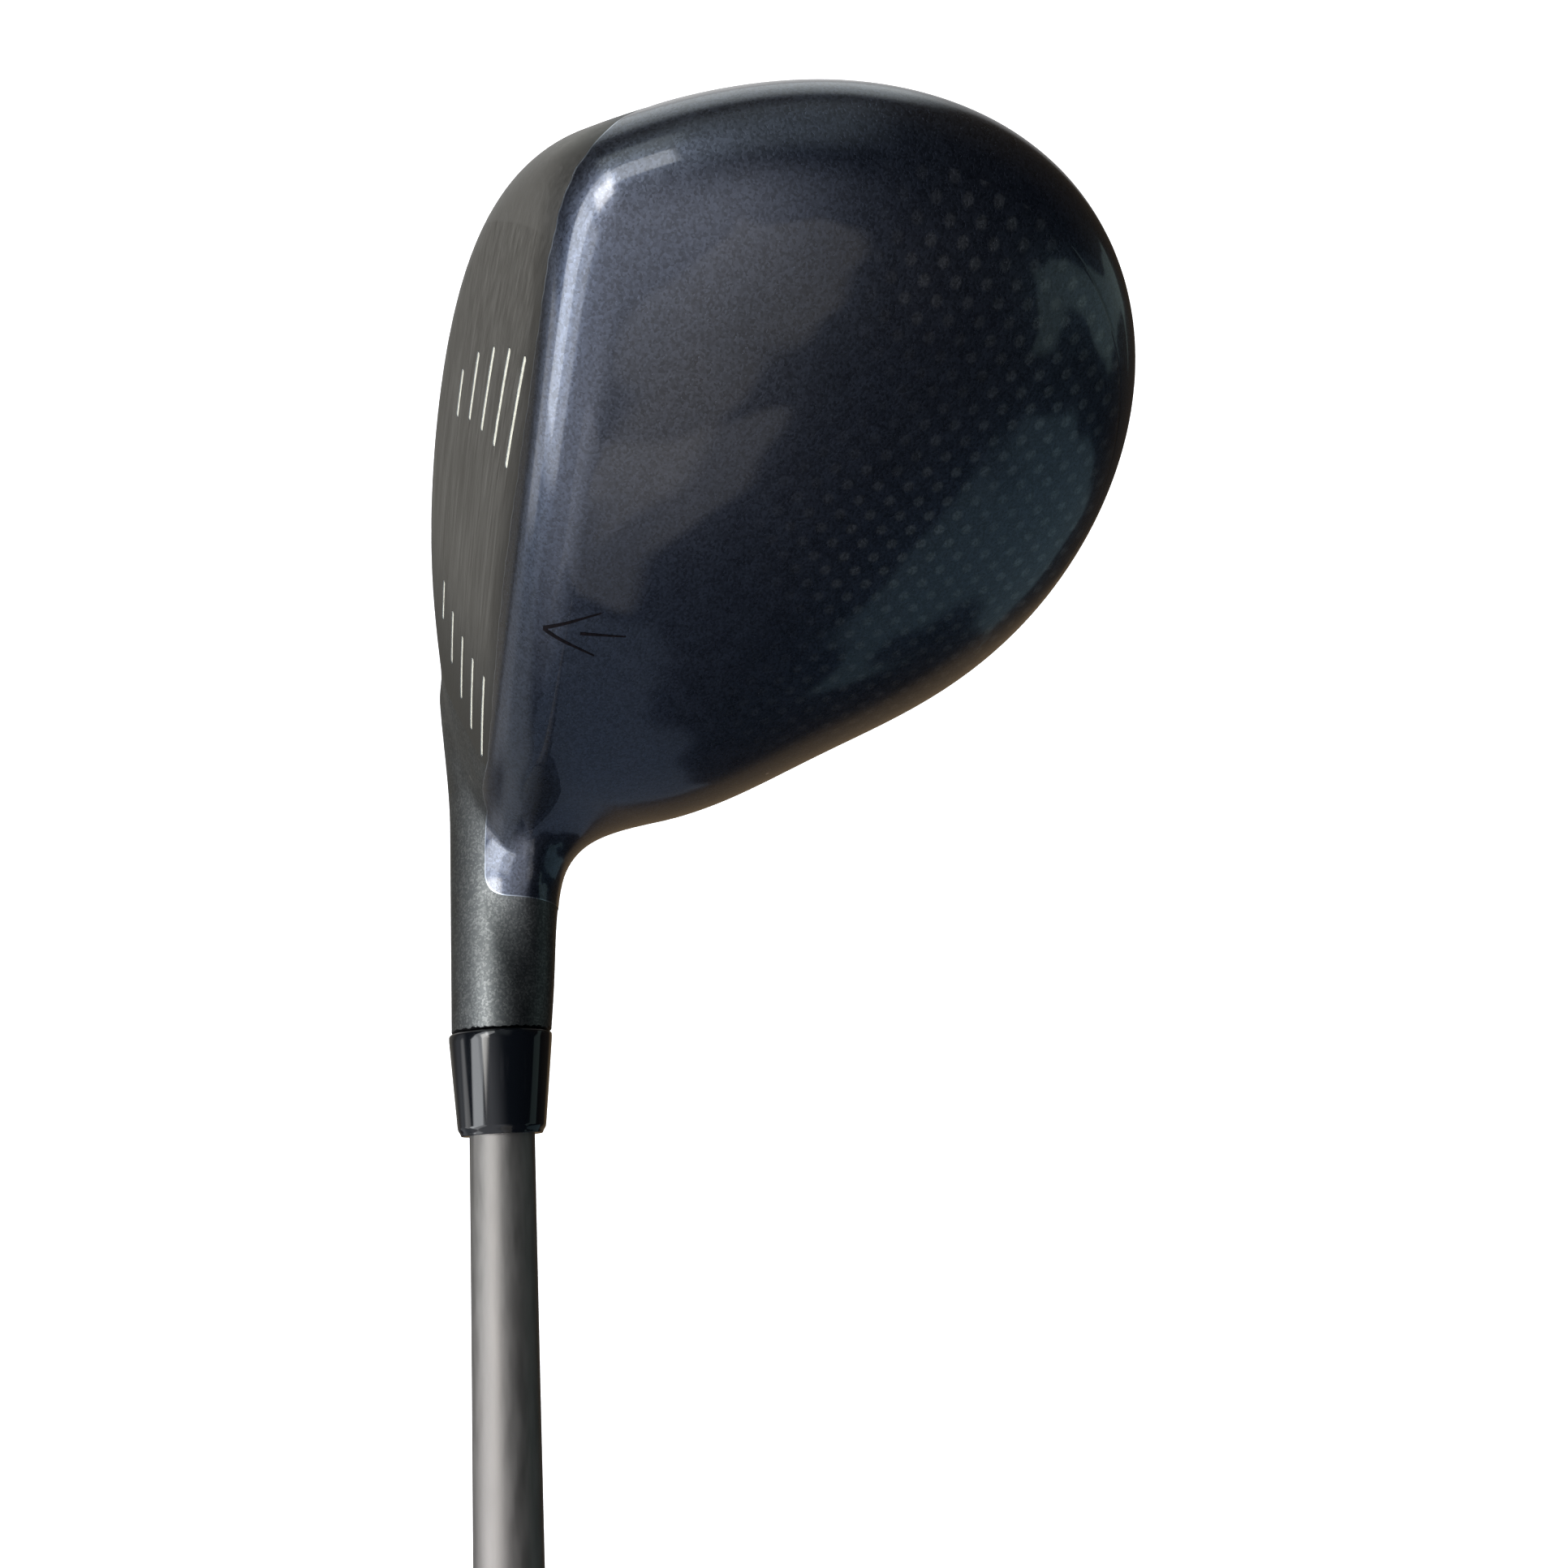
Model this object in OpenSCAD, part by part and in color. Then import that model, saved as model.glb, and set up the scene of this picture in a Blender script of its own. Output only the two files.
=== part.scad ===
// Fairway wood, right-handed, at address.
// Millimetres. +Z up, the face looks along -Y, the toe lies towards -X and the shaft rises towards +X.
// The origin is the lowest point of the sole, where the head rests on the ground.

/* [Head] */
// Loft of the face, degrees
loft = 15; // [13:0.5:19]
// Lie, the angle of the shaft above the ground, degrees
lie = 58.8; // [56:0.1:61]
// Height of the head's widest level above the ground
waist_h = 20; // [18:0.5:22]
// Height of the crown above the widest level
crown_h = 16.5; // [14:0.5:19]
// Plan radius of the head every 30 degrees, from the heel round by the back and the toe
plan_r = [46, 40, 42.5, 50, 57, 59, 53.5, 49, 51, 53.5, 51, 48.5];
// Rounding between the face and the crown
shoulder_r = 5; // [3:0.5:8]
// Fillet between the crown and the hosel
neck_r = 16; // [10:1:20]
// Radius of the face's bulge, heel to toe
bulge_r = 347; // [280:1:400]
// Radius of the face's roll, crown to sole
roll_r = 300; // [250:1:400]

/* [Walls] */
// Wall of the cast body
body_wall = 1.4; // [1.2:0.1:2]
// Thickness of the forged face
face_wall = 2; // [1.8:0.1:3]
// Thickness of the crown panel
crown_wall = 0.8; // [0.6:0.1:1.2]
// Thickness of the bond under the crown
bond = 0.2; // [0.1:0.05:0.3]
// Depth of the face cup, front to back
cup_depth = 10; // [8:0.5:14]

/* [Hosel and shaft] */
// Where the shaft's axis meets the ground, heelwards of the origin
axis_x = 36.7; // [34:0.1:40]
// Where the shaft's axis meets the ground, in front of the origin
axis_y = -18.2; // [-20:0.1:-16]
// Top of the hosel, along the shaft's axis from the ground
hosel_top = 53; // [48:0.5:58]
// Outer diameter of the hosel
hosel_d = 13.1; // [12.6:0.1:13.6]
// Diameter of the shaft's parallel tip
tip_d = 8.5; // [8.4:0.1:9]
// Diameter of the shaft's butt
butt_d = 15.2; // [14.5:0.1:15.6]
// Length of the club from the ground to the end of the grip, along the axis
club_l = 1092; // [1040:1:1110]
// Length of the ferrule
ferrule_l = 13.3; // [10:0.1:20]
// Length of the grip
grip_l = 267; // [255:1:275]

/* [Sole weight] */
// Diameter of the weight
weight_d = 20; // [16:1:22]
// Thickness of the weight
weight_t = 5; // [4:0.5:6]
// Diameter of the screw's shank
screw_d = 4.8; // [4:0.1:5.2]
// How far behind the origin the weight sits
port_y = 24; // [20:1:26]

/* [Hidden] */
$fn = 72;

// ---- head surface ----
face_centre = [3, -26, 17.5];
face_normal = [0, -cos(loft), sin(loft)];
face_up = [0, sin(loft), cos(loft)];
shaft_dir = [cos(lie), 0, sin(lie)];
axis_foot = [axis_x, axis_y, 0];
plan_n = len(plan_r);
plan_step = 360 / plan_n;
crown_exp = 2.25;
crown_plan_exp = 2.35;
sole_exp = 1.5;
sole_plan_exp = 4.2;
// The hosel's stub in the head surface, which the turned hosel covers
stub_r = hosel_d / 2 - 0.35;
stub_foot = 6;
stub_top = 33;
hosel_blend = 3;

// Harmonics of the plan outline
plan_cos = [for (k = [0 : plan_n / 2]) 2 / plan_n * wave_sum(k, 90)];
plan_sin = [for (k = [0 : plan_n / 2]) 2 / plan_n * wave_sum(k, 0)];
function wave_sum(k, phase) =
    [for (i = 0, s = 0; i <= plan_n; s = s + (i < plan_n ? plan_r[i] * sin(k * i * plan_step + phase) : 0), i = i + 1) s][plan_n];
function plan_radius(a) =
    plan_cos[0] / 2 + plan_cos[plan_n / 2] / 2 * cos(plan_n / 2 * a) + plan_wave(a, plan_n / 2 - 1);
function plan_wave(a, k) =
    k == 0 ? 0 : plan_cos[k] * cos(k * a) + plan_sin[k] * sin(k * a) + plan_wave(a, k - 1);

// Signed gaps to each surface: negative inside, positive outside
function round_max(a, b, r) = let (h = max(r - abs(a - b), 0) / r) max(a, b) + h * h * r / 4;
function round_min(a, b, r) = -round_max(-a, -b, r);
function shell_gap(p) =
    let (
        rise = p.z - waist_h,
        r = norm([p.x, p.y]),
        plan = plan_radius(atan2(p.y, p.x)),
        height = rise > 0 ? crown_h : waist_h,
        eh = rise > 0 ? crown_exp : sole_exp,
        ep = rise > 0 ? crown_plan_exp : sole_plan_exp,
        h = abs(rise) / height,
        slope = norm([eh * pow(h, eh - 1) / height, ep * pow(r / plan, ep - 1) / plan])
    )
    (pow(h, eh) + pow(r / plan, ep) - 1) / max(slope, 0.02);
function face_gap(p) =
    let (d = p - face_centre, v = d * face_up) d * face_normal + d.x * d.x / (2 * bulge_r) + v * v / (2 * roll_r);
function hosel_gap(p) =
    let (d = p - axis_foot, s = d * shaft_dir)
    round_max(norm(d - s * shaft_dir) - stub_r, max(stub_foot - s, s - stub_top), 2);
function head_gap(p) =
    let (stub = hosel_gap(p))
    round_min(round_max(round_min(shell_gap(p), stub, neck_r), face_gap(p), shoulder_r), stub, hosel_blend);

// ---- head surface as a mesh of rays from a point inside ----
ray_origin = [0, -4, waist_h - 1];
turns = 60;
levels = 30;
ray_flatness = 0.6;
function ray(a, e) = let (v = [cos(a) * cos(e), sin(a) * cos(e), ray_flatness * sin(e)]) v / norm(v);
function hit(dir, inset, near, far, tries) =
    tries == 0
        ? ray_origin + dir * (near + far) / 2
        : let (mid = (near + far) / 2)
          head_gap(ray_origin + dir * mid) < -inset
            ? hit(dir, inset, mid, far, tries - 1)
            : hit(dir, inset, near, mid, tries - 1);
function surface_point(a, e, inset) = hit(ray(a, e), inset, 1, 90, 15);

module head_solid(inset) {
    rings = [for (j = [1 : levels - 1], i = [0 : turns - 1])
        surface_point(i * 360 / turns, -90 + j * 180 / levels, inset)];
    poles = [surface_point(0, -90, inset), surface_point(0, 90, inset)];
    last = (levels - 2) * turns;
    bottom = len(rings);
    sides = [for (j = [0 : levels - 3], i = [0 : turns - 1])
        let (a = j * turns + i, b = j * turns + (i + 1) % turns)
        each [[a, b + turns, b], [a, a + turns, b + turns]]];
    caps = [for (i = [0 : turns - 1])
        each [[bottom, i, (i + 1) % turns], [bottom + 1, last + (i + 1) % turns, last + i]]];
    polyhedron(concat(rings, poles), concat(sides, caps), convexity = 6);
}

// Keeps every size as drawn and makes one surface of a sculpted shell
module one_surface() {
    resize([0, 0, 0]) children();
}

// ---- places ----
module along_shaft(s) {
    translate([axis_x, axis_y, 0]) rotate([0, 90 - lie, 0]) translate([0, 0, s]) children();
}
module at_face() {
    translate(face_centre) rotate([-loft, 0, 0]) children();
}
// +Z is the way out of the sole
port_tilt = 8;
port_z = 0.6;
module at_port() {
    translate([0, port_y, port_z]) rotate([180 + port_tilt, 0, 0]) children();
}

// ---- regions of the head ----
cup_heel_x = 29;
ledge_w = 6;
crown_front_y = -8;
module plan_outline(share) {
    polygon([for (a = [0 : 5 : 355]) share * plan_radius(a) * [cos(a), sin(a)]]);
}
module crown_outline(grow) {
    offset(delta = grow) offset(r = 7, $fn = 32) offset(delta = -7) difference() {
        plan_outline(0.93);
        translate([-100, crown_front_y - 100]) square([200, 100]);
        translate([49, -20]) circle(27, $fn = 48);
    }
}
module crown_region(grow) {
    translate([0, 0, waist_h]) linear_extrude(30) crown_outline(grow);
}
module cup_region() {
    at_face() translate([-100, -30, -60]) cube([100 + cup_heel_x, 30 + cup_depth, 120]);
}
badge_w = 50;
badge_d = 15;
badge_y = -9;
badge_t = 0.7;
module badge_region(grow) {
    translate([0, badge_y, -5]) linear_extrude(12) offset(r = 4 + grow, $fn = 32)
        square([badge_w - 8, badge_d - 8], center = true);
}

// ---- head pieces ----
module body_shell() {
    difference() {
        head_solid(0);
        head_solid(body_wall);
        cup_region();
        crown_region(0.1);
        intersection() {
            difference() {
                head_solid(-1);
                head_solid(badge_t + 0.1);
            }
            badge_region(0.1);
        }
    }
    difference() {
        head_solid(crown_wall + bond);
        head_solid(crown_wall + bond + 1);
        difference() {
            translate([-100, -100, 0]) cube([200, 200, 60]);
            crown_region(2);
        }
        crown_region(-ledge_w);
        cup_region();
    }
}

pocket_r = weight_d / 2 + 0.3;
pocket_depth = weight_t + 1.1;
boss_r = pocket_r + 1.7;
thread_boss_r = 4.8;
thread_depth = 8.2;
bore_r = tip_d / 2 + 0.15;
bore_foot = 18;
tube_foot = 12;
module head_body() color([0.13, 0.13, 0.135]) {
    difference() {
        union() {
            one_surface() body_shell();
            along_shaft(tube_foot) cylinder(r = stub_r - 0.3, h = 20);
            along_shaft(27) cylinder(d = hosel_d, h = hosel_top - 27);
            at_port() translate([0, 0, -pocket_depth - 1.8]) cylinder(r = boss_r, h = pocket_depth + 0.6);
            at_port() translate([0, 0, -pocket_depth - thread_depth]) cylinder(r = thread_boss_r, h = thread_depth);
        }
        along_shaft(bore_foot) cylinder(r = bore_r, h = hosel_top);
        at_port() translate([0, 0, -pocket_depth]) cylinder(r = pocket_r, h = pocket_depth + 6);
        at_port() translate([0, 0, -pocket_depth - thread_depth + 0.8]) cylinder(d = screw_d + 0.1, h = thread_depth + 1);
    }
}

// Score lines: five heights in a heel and a toe group, each line follows the bulge
line_n = 5;
line_pitch = 3.9;
line_low = -6;
line_w = 0.8;
line_depth = 0.4;
line_inner = [11.8, 13.7, 14.7, 15.1, 14.8];
line_outer = [17.9, 22.2, 25, 27, 28.2];
module score_line_set(out) {
    for (side = [-1, 1], i = [0 : line_n - 1]) {
        v = line_low + i * line_pitch;
        u = (line_inner[i] + line_outer[i]) / 2;
        back = u * u / (2 * bulge_r) + v * v / (2 * roll_r);
        at_face() translate([side * u, back, v]) rotate([0, 0, side * asin(u / bulge_r)])
            translate([-(line_outer[i] - line_inner[i]) / 2, -out, -line_w / 2])
                cube([line_outer[i] - line_inner[i], line_depth + out, line_w]);
    }
}
module face_cup() color([0.27, 0.26, 0.25]) {
    one_surface() difference() {
        intersection() {
            head_solid(0);
            cup_region();
        }
        head_solid(face_wall);
        score_line_set(2);
    }
}
module score_lines() color([0.85, 0.84, 0.78]) {
    score_line_set(-0.15);
}
module crown_panel() color([0.14, 0.16, 0.24]) {
    one_surface() difference() {
        intersection() {
            head_solid(0);
            crown_region(0);
        }
        head_solid(crown_wall);
    }
}
module crown_adhesive() color([0.3, 0.32, 0.3]) {
    one_surface() difference() {
        intersection() {
            head_solid(crown_wall);
            crown_region(-0.5);
        }
        head_solid(crown_wall + bond);
        crown_region(0.5 - ledge_w);
    }
}
module sole_badge() color([0.1, 0.13, 0.22]) {
    one_surface() difference() {
        intersection() {
            head_solid(0.1);
            badge_region(0);
        }
        head_solid(badge_t);
    }
}
// Cast ballast on the sole's inner face, clear of the weight's boss
ballast_w = 44;
ballast_d = 14;
ballast_y = 2.6;
ballast_top = 4.4;
module internal_weight() color([0.42, 0.42, 0.44]) {
    one_surface() intersection() {
        head_solid(body_wall);
        translate([1, ballast_y, 0]) linear_extrude(ballast_top) offset(r = 4, $fn = 32)
            square([ballast_w - 8, ballast_d - 8], center = true);
    }
}
// Drop of soft glue that catches loose crumbs, poured in toe side
melt_place = [-31, 10, 0];
melt_r = 6.5;
module hot_melt() color([0.85, 0.72, 0.45]) {
    one_surface() intersection() {
        head_solid(body_wall);
        translate(melt_place) scale([1, 1.3, 0.8]) sphere(melt_r, $fn = 24);
    }
}

// ---- sole weight, drawn on the port's axis ----
weight_sink = 0.9;
weight_back = -weight_sink - weight_t;
screw_head_r = 4.2;
screw_head_t = 2.4;
retainer_t = 0.6;
ring_r = 7.3;
ring_wire = 0.7;
module sole_weight() color([0.5, 0.5, 0.52]) {
    at_port() difference() {
        translate([0, 0, weight_back]) rotate_extrude() polygon([
            [screw_d / 2 + 0.08, 0], [weight_d / 2 - 0.4, 0], [weight_d / 2, 0.4],
            [weight_d / 2, weight_t - 0.6], [weight_d / 2 - 0.6, weight_t], [screw_d / 2 + 0.08, weight_t]
        ]);
        translate([0, 0, -weight_sink - screw_head_t - 0.1]) cylinder(r = screw_head_r + 0.15, h = 4);
        translate([0, 0, weight_back - 1]) cylinder(r = screw_head_r, h = 1 + retainer_t + 0.3);
        translate([0, 0, weight_back - 1]) difference() {
            cylinder(r = ring_r + ring_wire + 0.1, h = 2.3);
            translate([0, 0, -1]) cylinder(r = ring_r - ring_wire - 0.1, h = 5);
        }
    }
}
module weight_oring() color([0.05, 0.05, 0.05]) {
    at_port() translate([0, 0, weight_back + 0.55]) rotate_extrude()
        translate([ring_r, 0]) circle(ring_wire, $fn = 24);
}
module weight_screw() color([0.2, 0.2, 0.21]) {
    at_port() difference() {
        union() {
            translate([0, 0, -weight_sink - screw_head_t]) cylinder(r = screw_head_r, h = screw_head_t - 0.1);
            translate([0, 0, -weight_sink - screw_head_t - 9.2]) cylinder(d = screw_d, h = 9.3);
        }
        drive_recess();
    }
}
// Six-lobed drive recess
drive_r = 2.2;
module drive_recess() {
    translate([0, 0, -weight_sink - 1.7]) {
        cylinder(r = drive_r * 0.74, h = 3);
        for (a = [0 : 60 : 300]) rotate(a) translate([drive_r * 0.72, 0, 0]) cylinder(r = drive_r * 0.26, h = 3, $fn = 24);
    }
}
module screw_retainer() color([0.6, 0.6, 0.6]) {
    at_port() translate([0, 0, weight_back + 0.15]) difference() {
        cylinder(r = screw_head_r - 0.4, h = retainer_t);
        translate([0, 0, -1]) cylinder(d = screw_d, h = 3);
        translate([0, -0.4, -1]) cube([10, 0.8, 3]);
    }
}

// ---- hosel, ferrule and shaft, drawn on the shaft's axis ----
shaft_foot = 22;
shaft_top = club_l - 4;
taper_foot = 85;
shaft_wall = 1.6;
function shaft_r(s) = tip_d / 2 + max(0, s - taper_foot) / (shaft_top - taper_foot) * (butt_d - tip_d) / 2;
// A sleeve on the shaft between two stations, from one gap to another outside its surface
module shaft_sleeve(s0, s1, gap, wall) {
    along_shaft(0) rotate_extrude() polygon([
        [shaft_r(s0) + gap, s0], [shaft_r(s0) + gap + wall, s0],
        [shaft_r(s1) + gap + wall, s1], [shaft_r(s1) + gap, s1]
    ]);
}
module hosel_plug() color([0.75, 0.7, 0.5]) {
    along_shaft(bore_foot) cylinder(r = bore_r, h = shaft_foot - bore_foot);
}
module hosel_epoxy() color([0.8, 0.75, 0.5]) {
    along_shaft(shaft_foot) difference() {
        cylinder(r = bore_r, h = hosel_top - shaft_foot);
        translate([0, 0, -1]) cylinder(d = tip_d, h = hosel_top);
    }
}
ferrule_foot_r = 6.8;
ferrule_top_r = 5.7;
module ferrule() color([0.02, 0.02, 0.025]) {
    along_shaft(hosel_top) rotate_extrude() polygon([
        [tip_d / 2, 0], [ferrule_foot_r - 0.25, 0], [ferrule_foot_r, 0.3], [ferrule_foot_r, 0.8],
        [ferrule_top_r, ferrule_l - 0.5], [ferrule_top_r - 0.4, ferrule_l], [tip_d / 2, ferrule_l]
    ]);
}
tip_weight_r = tip_d / 2 - shaft_wall;
module tip_weight() color([0.72, 0.58, 0.3]) {
    along_shaft(shaft_foot) cylinder(r = tip_weight_r, h = 24);
}
module shaft() color([0.42, 0.4, 0.38]) {
    along_shaft(0) rotate_extrude() polygon([
        [tip_d / 2 - shaft_wall, shaft_foot], [tip_d / 2, shaft_foot], [tip_d / 2, taper_foot],
        [butt_d / 2, shaft_top], [butt_d / 2 - shaft_wall, shaft_top], [tip_d / 2 - shaft_wall, taper_foot]
    ]);
}
band_foot = 560;
band_l = 60;
module shaft_band() color([0.75, 0.75, 0.76]) {
    shaft_sleeve(band_foot, band_foot + band_l, 0, 0.1);
}

// ---- grip ----
grip_top = club_l - 5;
grip_foot = club_l - grip_l;
tape_t = 0.2;
grip_mouth_r = 9.8;
grip_butt_r = 13;
cap_r = 14.2;
vent_r = 1.5;
module grip_tape() color([0.8, 0.76, 0.62]) {
    shaft_sleeve(grip_foot + 2, shaft_top, 0, tape_t);
}
module grip() color([0.06, 0.06, 0.065]) {
    along_shaft(0) rotate_extrude() polygon([
        [shaft_r(grip_foot) + tape_t, grip_foot],
        [grip_mouth_r - 1.8, grip_foot], [grip_mouth_r - 0.6, grip_foot + 1.2],
        [grip_mouth_r, grip_foot + 6], [grip_butt_r, grip_top - 22],
        [cap_r, grip_top - 4], [cap_r, grip_top],
        [shaft_r(shaft_top) + tape_t, grip_top]
    ]);
}
module grip_cap() color([0.09, 0.09, 0.1]) {
    along_shaft(0) rotate_extrude() polygon([
        [vent_r, shaft_top], [shaft_r(shaft_top) + tape_t, shaft_top], [shaft_r(shaft_top) + tape_t, grip_top],
        [cap_r, grip_top], [cap_r, grip_top + 2.5], [cap_r - 2.5, club_l], [vent_r, club_l]
    ]);
}

head_body();
face_cup();
score_lines();
crown_panel();
crown_adhesive();
sole_badge();
internal_weight();
hot_melt();
sole_weight();
weight_oring();
weight_screw();
screw_retainer();
hosel_plug();
hosel_epoxy();
ferrule();
tip_weight();
shaft();
shaft_band();
grip_tape();
grip();
grip_cap();
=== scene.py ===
"""Fairway wood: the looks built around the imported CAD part, in metres and in the CAD part's frame."""

import math

import bmesh
import bpy
import numpy as np
from mathutils import Matrix, Vector


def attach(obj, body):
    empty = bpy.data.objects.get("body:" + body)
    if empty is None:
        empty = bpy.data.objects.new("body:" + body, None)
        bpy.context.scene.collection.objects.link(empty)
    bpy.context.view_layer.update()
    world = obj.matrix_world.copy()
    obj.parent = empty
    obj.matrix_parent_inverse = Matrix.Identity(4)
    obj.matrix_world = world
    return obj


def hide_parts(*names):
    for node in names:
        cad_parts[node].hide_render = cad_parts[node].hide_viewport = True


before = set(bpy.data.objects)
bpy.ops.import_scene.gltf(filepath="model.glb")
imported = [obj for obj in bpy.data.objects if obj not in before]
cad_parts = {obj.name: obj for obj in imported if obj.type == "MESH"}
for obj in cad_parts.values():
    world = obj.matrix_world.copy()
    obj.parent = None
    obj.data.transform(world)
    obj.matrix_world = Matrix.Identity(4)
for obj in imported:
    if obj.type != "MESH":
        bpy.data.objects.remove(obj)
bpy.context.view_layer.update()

MM = 0.001
SEED = 7

# ---------------------------------------------------------------- head design: millimetres, as in CAD
LOFT = math.radians(15)
LIE = math.radians(58.8)
WAIST = 20.0
CROWN = 16.5
PLAN_RADII = [46, 40, 42.5, 50, 57, 59, 53.5, 49, 51, 53.5, 51, 48.5]
CROWN_EXP = 2.25
CROWN_PLAN_EXP = 2.35
SOLE_EXP = 1.5
SOLE_PLAN_EXP = 4.2
SHOULDER = 5.0
NECK_FILLET = 16.0
HOSEL_FILLET = 3.0
BULGE = 347.0
ROLL = 300.0
FACE_CENTRE = np.array([3, -26, 17.5])
FACE_OUT = np.array([0, -math.cos(LOFT), math.sin(LOFT)])
FACE_UP = np.array([0, math.sin(LOFT), math.cos(LOFT)])
SHAFT_FOOT = np.array([36.7, -18.2, 0])
SHAFT_DIR = np.array([math.cos(LIE), 0, math.sin(LIE)])
HOSEL_R = 6.55
HOSEL_LOW = 6.0
HOSEL_TOP = 53.0
BORE_R = 4.4
PORT_PLACE = np.array([0, 24, 0.6])
PORT_TILT = math.radians(8)
PORT_OUT = np.array([0, math.sin(PORT_TILT), -math.cos(PORT_TILT)])
PORT_SIDE = np.array([1.0, 0, 0])
POCKET_R = 10.3
POCKET_DEPTH = 6.1
BOSS_WALL = 1.7
THREAD_R = 2.45
THREAD_BOSS_R = 4.8
THREAD_DEPTH = 7.4
BADGE_HALF = (25.1, 7.6)
BADGE_Y = -9.0
BADGE_DEPTH = 0.8
BADGE_CORNER = 4.0
BADGE_FACE = 0.12
BAR_HALF = 17.0
CUP_DEPTH = 10.0
CUP_HEEL_X = 32.0
LINE_LOW = -6.0
LINE_PITCH = 3.9
LINE_WIDTH = 0.66
LINE_INNER = [11.8, 13.7, 14.7, 15.1, 14.8]
LINE_OUTER = [17.9, 22.2, 25, 27, 28.2]
BODY_WALL = 1.4
CUP_WALL = 2.0
CROWN_WALL = 0.8
BARE_STEP = 0.07
GROOVE_DEPTH = 0.38
PORT_CLEARANCE = 0.3
HOSEL_BEVEL = 0.3
GRID = 0.62
SKIN_GAP = 0.04
CROWN_SHARE = 0.93
CROWN_FRONT = -8
CROWN_ROUND = 12
NECK_CENTRE = (49, -20)
NECK_CLEAR = 27
PAINT_UP_HOSEL = 35.6
PAINT_SKIRT = 16.5


# ---------------------------------------------------------------- signed gaps, millimetres: negative inside
def round_max(a, b, r):
    h = np.maximum(r - np.abs(a - b), 0) / r
    return np.maximum(a, b) + h * h * r / 4


def round_min(a, b, r):
    return -round_max(-a, -b, r)


def plan_radius(angle):
    """The head's outline seen from above: the smooth curve through PLAN_RADII."""
    n = len(PLAN_RADII)
    wave = np.fft.rfft(PLAN_RADII) / n
    radius = np.full_like(angle, wave[0].real)
    for k in range(1, n // 2):
        radius += 2 * (wave[k].real * np.cos(k * angle) - wave[k].imag * np.sin(k * angle))
    return radius + wave[n // 2].real * np.cos(n // 2 * angle)


def plan_place(p):
    """Each point's distance from the head's centre line, and the outline's in its direction."""
    return np.hypot(p[..., 0], p[..., 1]), plan_radius(np.arctan2(p[..., 1], p[..., 0]))


def shell_gap(p):
    """The head without its face and hosel: two rounded halves that meet at the waist."""
    rise = p[..., 2] - WAIST
    r, plan = plan_place(p)
    above = rise >= 0
    height = np.where(above, CROWN, WAIST)
    eh = np.where(above, CROWN_EXP, SOLE_EXP)
    ep = np.where(above, CROWN_PLAN_EXP, SOLE_PLAN_EXP)
    h = np.abs(rise) / height
    share = r / plan
    slope = np.hypot(eh * h ** (eh - 1) / height, ep * share ** (ep - 1) / plan)
    return (h**eh + share**ep - 1) / np.maximum(slope, 0.02)


def face_coords(p):
    """Heelwards and upwards from the face's centre."""
    d = p - FACE_CENTRE
    return d[..., 0], d @ FACE_UP


def face_gap(p):
    u, v = face_coords(p)
    return (p - FACE_CENTRE) @ FACE_OUT + u * u / (2 * BULGE) + v * v / (2 * ROLL)


def station(p):
    """How far up the shaft's axis a point is."""
    return (p - SHAFT_FOOT) @ SHAFT_DIR


def hosel_gap(p):
    s = station(p)
    off = np.linalg.norm(p - SHAFT_FOOT - s[..., None] * SHAFT_DIR, axis=-1)
    return round_max(off - HOSEL_R, np.maximum(HOSEL_LOW - s, s - HOSEL_TOP - 3), 2.0)


def head_gap(p):
    hosel = hosel_gap(p)
    body = round_min(shell_gap(p), hosel, NECK_FILLET)
    return round_min(round_max(body, face_gap(p), SHOULDER), hosel, HOSEL_FILLET)


def slope_of(gap, p, step=0.02):
    sides = [(gap(p + step * axis) - gap(p - step * axis)) / (2 * step) for axis in np.eye(3)]
    return np.stack(sides, -1)


def unit(v):
    return v / np.linalg.norm(v, axis=-1, keepdims=True)


def short_step(gap, slope, least):
    """The move that brings gap to 0 along its slope, but no longer than one grid cell."""
    move = (gap / np.maximum((slope * slope).sum(-1), least))[..., None] * slope
    length = np.linalg.norm(move, axis=-1, keepdims=True)
    return move * np.minimum(1, GRID / np.maximum(length, 1e-9))


def onto_head(p, rounds=3):
    for _ in range(rounds):
        p = p - short_step(head_gap(p), slope_of(head_gap, p), 1e-3)
    return p


def head_normals(p):
    """Outward normals; points at the waist, where the gap has a step, take those just above it."""
    p = p.copy()
    p[np.abs(p[:, 2] - WAIST) < 0.03, 2] += 0.06
    return unit(slope_of(head_gap, p))


# ---------------------------------------------------------------- outlines on the head
def cup_outline(p):
    depth = -(p - FACE_CENTRE) @ FACE_OUT
    return round_max(depth - CUP_DEPTH, p[..., 0] - CUP_HEEL_X, 3.0)


def crown_outline(p):
    r, plan = plan_place(p)
    rim = r - CROWN_SHARE * plan
    front = CROWN_FRONT - p[..., 1]
    neck = NECK_CLEAR - np.hypot(p[..., 0] - NECK_CENTRE[0], p[..., 1] - NECK_CENTRE[1])
    outline = round_max(round_max(rim, front, CROWN_ROUND), neck, CROWN_ROUND)
    return np.maximum(outline, WAIST + 2 - p[..., 2])


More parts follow.
